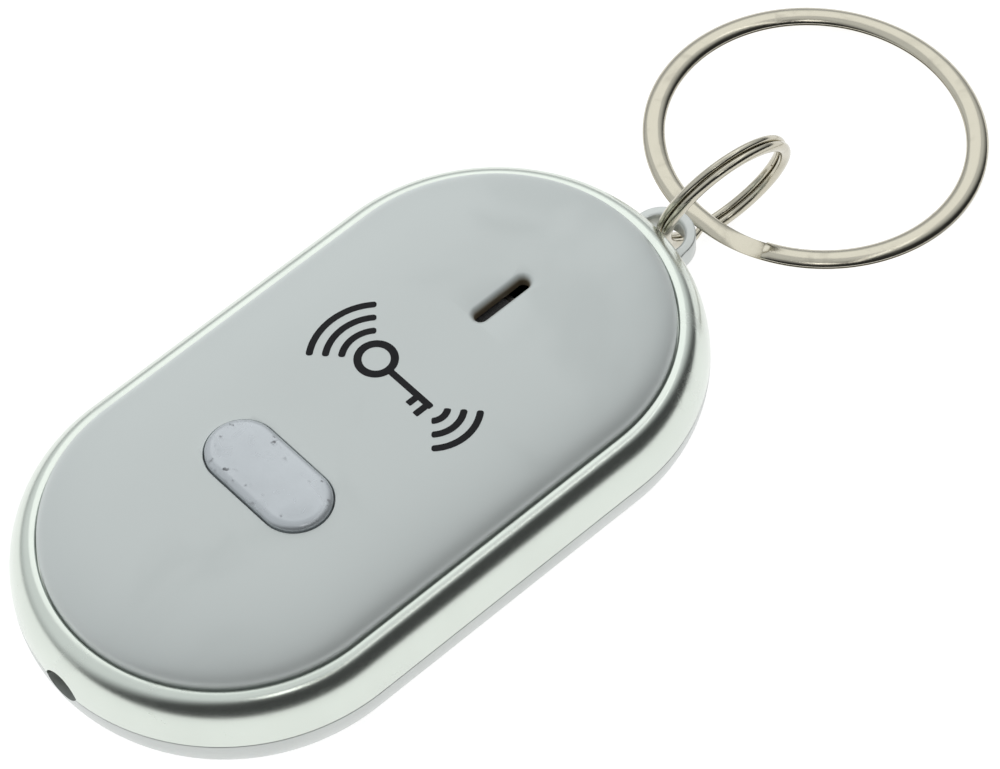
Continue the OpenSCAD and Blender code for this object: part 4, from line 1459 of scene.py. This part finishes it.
class Microphone(bpy.types.Operator):
    """Builds the microphone capsule and its felt"""

    bl_idname = "fob.microphone"
    bl_label = "Microphone"

    def execute(self, context):
        slot = "capsule_can"
        piece("Capsule", capsule_shape(), material_of(slot), "casing", ["microphone_capsule"])
        piece("Felt", felt_shape(), material_of("felt"), "casing", ["microphone_felt"])
        return {"FINISHED"}


class SplitRings(bpy.types.Operator):
    """Winds the two split rings"""

    bl_idname = "fob.split_rings"
    bl_label = "Split rings"

    def execute(self, context):
        r = settings("rings")
        upright = Matrix.Rotation(r.small_lean - HALF_TURN / 2, 4, "Y")
        for size, turn in (("small", Matrix.Rotation(-r.small_yaw, 4, "Z") @ upright),
                           ("large", Matrix.Rotation(-r.large_tilt, 4, "X"))):
            name, node = size.capitalize() + "Ring", size + "_split_ring"
            lengths = [mm(getattr(r, size + part)) for part in ("_d", "_w", "_t")]
            others = [getattr(r, size + part) for part in ("_full", "_dome", "_start")]
            shape = split_ring_shape(*lengths, *others, r, turn)
            low, high = [Vector([pick(v.co[k] for v in shape.verts) for k in range(3)])
                         for pick in (min, max)]
            box = NodeBox(node)
            shift = (box.low + box.high) / 2 - (low + high) / 2
            bmesh.ops.translate(shape, vec=shift, verts=shape.verts)
            material = ring_nickel(name + "_nickel", shift, turn.to_euler())
            piece(name, shape, material, size + "_ring", [node], sharp=50)
        return {"FINISHED"}


# Inner parts whose edges are rounded: slot, body and radius in millimetres.
SOFT_NODES = {
    "switch_base": ("switch_black", "casing", 0.12),
    "switch_cover": ("tinned_steel", "casing", 0.05),
    "switch_plunger": ("plunger_white", "plunger", 0.08),
    "switch_legs": ("tinned_steel", "casing", 0.03),
    "transistor": ("chip_black", "casing", 0.04),
    "resistors": ("chip_black", "casing", 0.04),
    "capacitors": ("chip_tan", "casing", 0.05),
    "boost_core": ("ferrite", "casing", 0.1),
    "contact_positive": ("contact_metal", "casing", 0.04),
    "contact_negative": ("contact_metal", "casing", 0.04),
    "contact_bridge": ("contact_metal", "casing", 0.04),
    "circuit_board": ("board", "casing", 0.04),
}
# Inner parts that keep the frame's own mesh.
PLAIN_NODES = {
    "controller_chip": "black_resin",
    "torch_leads": "tinned_steel",
    "sounder_seal": "foam",
    "sounder_disc": "disc_brass",
    "sounder_ceramic": "ceramic",
    "sounder_wires": "wire_jacket",
}


class InnerParts(bpy.types.Operator):
    """Builds the cells and the winding, rounds the boxy inner parts, and gives every inner part its finish"""

    bl_idname = "fob.inner_parts"
    bl_label = "Inner parts"

    def execute(self, context):
        for name, node in (("CellA", "battery_cell_a"), ("CellB", "battery_cell_b")):
            piece(name, cell_shape(node), material_of("cell_steel"), "casing", [node])
        slot = "copper_wire"
        piece("Winding", winding_shape(), material_of(slot), "casing", ["boost_winding"])
        for node, (slot, body, radius) in SOFT_NODES.items():
            name = "".join(word.capitalize() for word in node.split("_"))
            piece(name, softened(node, radius), material_of(slot), body, [node])
        for node, slot in PLAIN_NODES.items():
            for holder in frame["nodes"][node].material_slots:
                holder.material = material_of(slot)
        return {"FINISHED"}


# Soft boxes: name, azimuth from +X, elevation, distance, width, height in metres, and brightness as seen.
LIGHTS = [
    ("Window", 140.0, 46.0, 0.45, 0.42, 0.32, 0.5),
    ("CrestStrip", 48.0, 66.0, 0.9, 0.9, 0.05, 1.8),
    ("Spark", -18.0, 65.0, 0.6, 0.12, 0.12, 2.5),
]
# The side that the room's light comes from, and how that light sets in and falls off toward the horizon.
ROOM_SIDE = (-0.8, 0.1, 0.6)
ROOM_START, ROOM_FULL = 0.0, 0.6
ROOM_DARK, ROOM_LIGHT = 0.035, 0.8
HORIZON_SHARE = 0.5
LIGHT_COLOUR = (1.0, 0.995, 0.98)
FLOOR_SIZE = 2.0


def direction(azimuth, elevation):
    """A direction from its angles in radians, the azimuth measured from +X."""
    across, along = math.cos(azimuth), math.sin(azimuth)
    return Vector((across * math.cos(elevation), along * math.cos(elevation), math.sin(elevation)))


class Stage(bpy.types.Operator):
    """Lays the pale floor and hangs the soft lights"""

    bl_idname = "fob.stage"
    bl_label = "Stage and lights"

    def execute(self, context):
        floor = bpy.data.meshes.new("Floor")
        bm = bmesh.new()
        bmesh.ops.create_grid(bm, x_segments=1, y_segments=1, size=FLOOR_SIZE)
        bm.to_mesh(floor)
        bm.free()
        floor.materials.append(floor_paper())
        ground = bpy.data.objects.new("Floor", floor)
        bpy.context.scene.collection.objects.link(ground)
        bpy.context.scene.world = room()
        for name, azimuth, elevation, distance, width, height, brightness in LIGHTS:
            lamp = bpy.data.lights.new(name, "AREA")
            lamp.shape = "RECTANGLE"
            lamp.size, lamp.size_y = width, height
            lamp.energy = brightness * math.pi * width * height
            lamp.color = LIGHT_COLOUR
            light = bpy.data.objects.new(name, lamp)
            toward = direction(math.radians(azimuth), math.radians(elevation))
            light.location = toward * distance
            light.rotation_euler = toward.to_track_quat("Z", "Y").to_euler()
            bpy.context.scene.collection.objects.link(light)
        bpy.context.scene.view_settings.view_transform = "Standard"
        return {"FINISHED"}


def room():
    """A room that is bright overhead on one side and dark low down on the other."""
    world = bpy.data.worlds.new("Room")
    world.use_nodes = True
    tree = world.node_tree
    way = add(tree, "TexCoord").outputs["Generated"]
    toward = add(tree, "VectorMath", operation="DOT_PRODUCT")
    join(tree, way, toward.inputs[0])
    toward.inputs[1].default_value = ROOM_SIDE
    parts = split(tree, way)
    lit = spread(tree, toward.outputs["Value"], ROOM_START, ROOM_FULL)
    height = spread(tree, parts["Z"], -0.05, 0.5, HORIZON_SHARE, 1.0)
    strength = times(tree, times(tree, lit, height), ROOM_LIGHT)
    background = tree.nodes["Background"]
    background.inputs["Color"].default_value = (0.96, 0.985, 1.0, 1.0)
    join(tree, plus(tree, strength, ROOM_DARK), background.inputs["Strength"])
    return world


def floor_paper():
    """White paper lit until almost all of it is pure white, so that only contact shadows show."""
    material, _, shader, _ = finish("floor_paper")
    shader.inputs["Base Color"].default_value = (0.4, 0.4, 0.4, 1.0)
    shader.inputs["Roughness"].default_value = 0.9
    shader.inputs["Specular IOR Level"].default_value = 0.0
    shader.inputs["Emission Color"].default_value = (1.0, 1.0, 1.0, 1.0)
    shader.inputs["Emission Strength"].default_value = 0.86
    return material


# The camera's sensor in millimetres, and the nearest and farthest that it sees, in metres.
SENSOR_WIDTH = 36.0
NEAREST, FARTHEST = 0.01, 20.0


class PictureCamera(bpy.types.Operator):
    """Places the camera"""

    bl_idname = "fob.picture_camera"
    bl_label = "Camera"

    def execute(self, context):
        c = settings("camera")
        lens = bpy.data.cameras.new("Camera")
        lens.lens, lens.sensor_width = c.lens, SENSOR_WIDTH
        lens.clip_start, lens.clip_end = NEAREST, FARTHEST
        back = direction(c.azimuth - HALF_TURN / 2, c.elevation)
        right = UP.cross(back).normalized()
        up = back.cross(right)
        turn = Matrix((right, up, back)).transposed().to_4x4() @ Matrix.Rotation(c.roll, 4, "Z")
        camera = bpy.data.objects.new("Camera", lens)
        camera.matrix_world = Matrix.Translation(Vector((c.aim_x, c.aim_y, 0)) + back * c.distance) @ turn
        bpy.context.scene.collection.objects.link(camera)
        bpy.context.scene.camera = camera
        return {"FINISHED"}


class FobPanel(bpy.types.Panel):
    """Lists the operators that build the fob"""

    bl_idname = "VIEW3D_PT_key_fob"
    bl_label = "Key fob"
    bl_space_type = "VIEW_3D"
    bl_region_type = "UI"
    bl_category = "Key fob"

    def draw(self, context):
        column = self.layout.column(align=True)
        for kind in OPERATORS:
            column.operator(kind.bl_idname)
        for name in GROUPS:
            box = self.layout.box()
            box.label(text=name.capitalize())
            group = settings(name)
            for key in group.bl_rna.properties.keys():
                if key not in {"name", "rna_type"}:
                    box.prop(group, key)


OPERATORS = [BackCasing, FrontCasing, FacePlate, FaceMark, Button, BatteryDoor, Screws, TorchLamp,
             Microphone, SplitRings, InnerParts, Stage, PictureCamera]
GROUPS = {"casing": CasingSizes, "plate": PlateSizes, "button": ButtonSizes, "mark": MarkSizes,
          "rings": RingSizes, "finishes": Finishes, "camera": CameraPlace}


def register():
    """Adds the settings, the operators and the panel."""
    for name, group in GROUPS.items():
        bpy.utils.register_class(group)
        setattr(bpy.types.Scene, "fob_" + name, bpy.props.PointerProperty(type=group))
    for kind in OPERATORS + [FobPanel]:
        bpy.utils.register_class(kind)


def unregister():
    """Takes them away again."""
    for kind in reversed(OPERATORS + [FobPanel]):
        bpy.utils.unregister_class(kind)
    for name, group in GROUPS.items():
        delattr(bpy.types.Scene, "fob_" + name)
        bpy.utils.unregister_class(group)


def main():
    """Builds every piece, the stage and the camera, in order."""
    register()
    for kind in OPERATORS:
        group, name = kind.bl_idname.split(".")
        result = getattr(getattr(bpy.ops, group), name)()
        if result != {"FINISHED"}:
            raise RuntimeError(kind.bl_label + " could not be built")


if __name__ == "__main__":
    main()
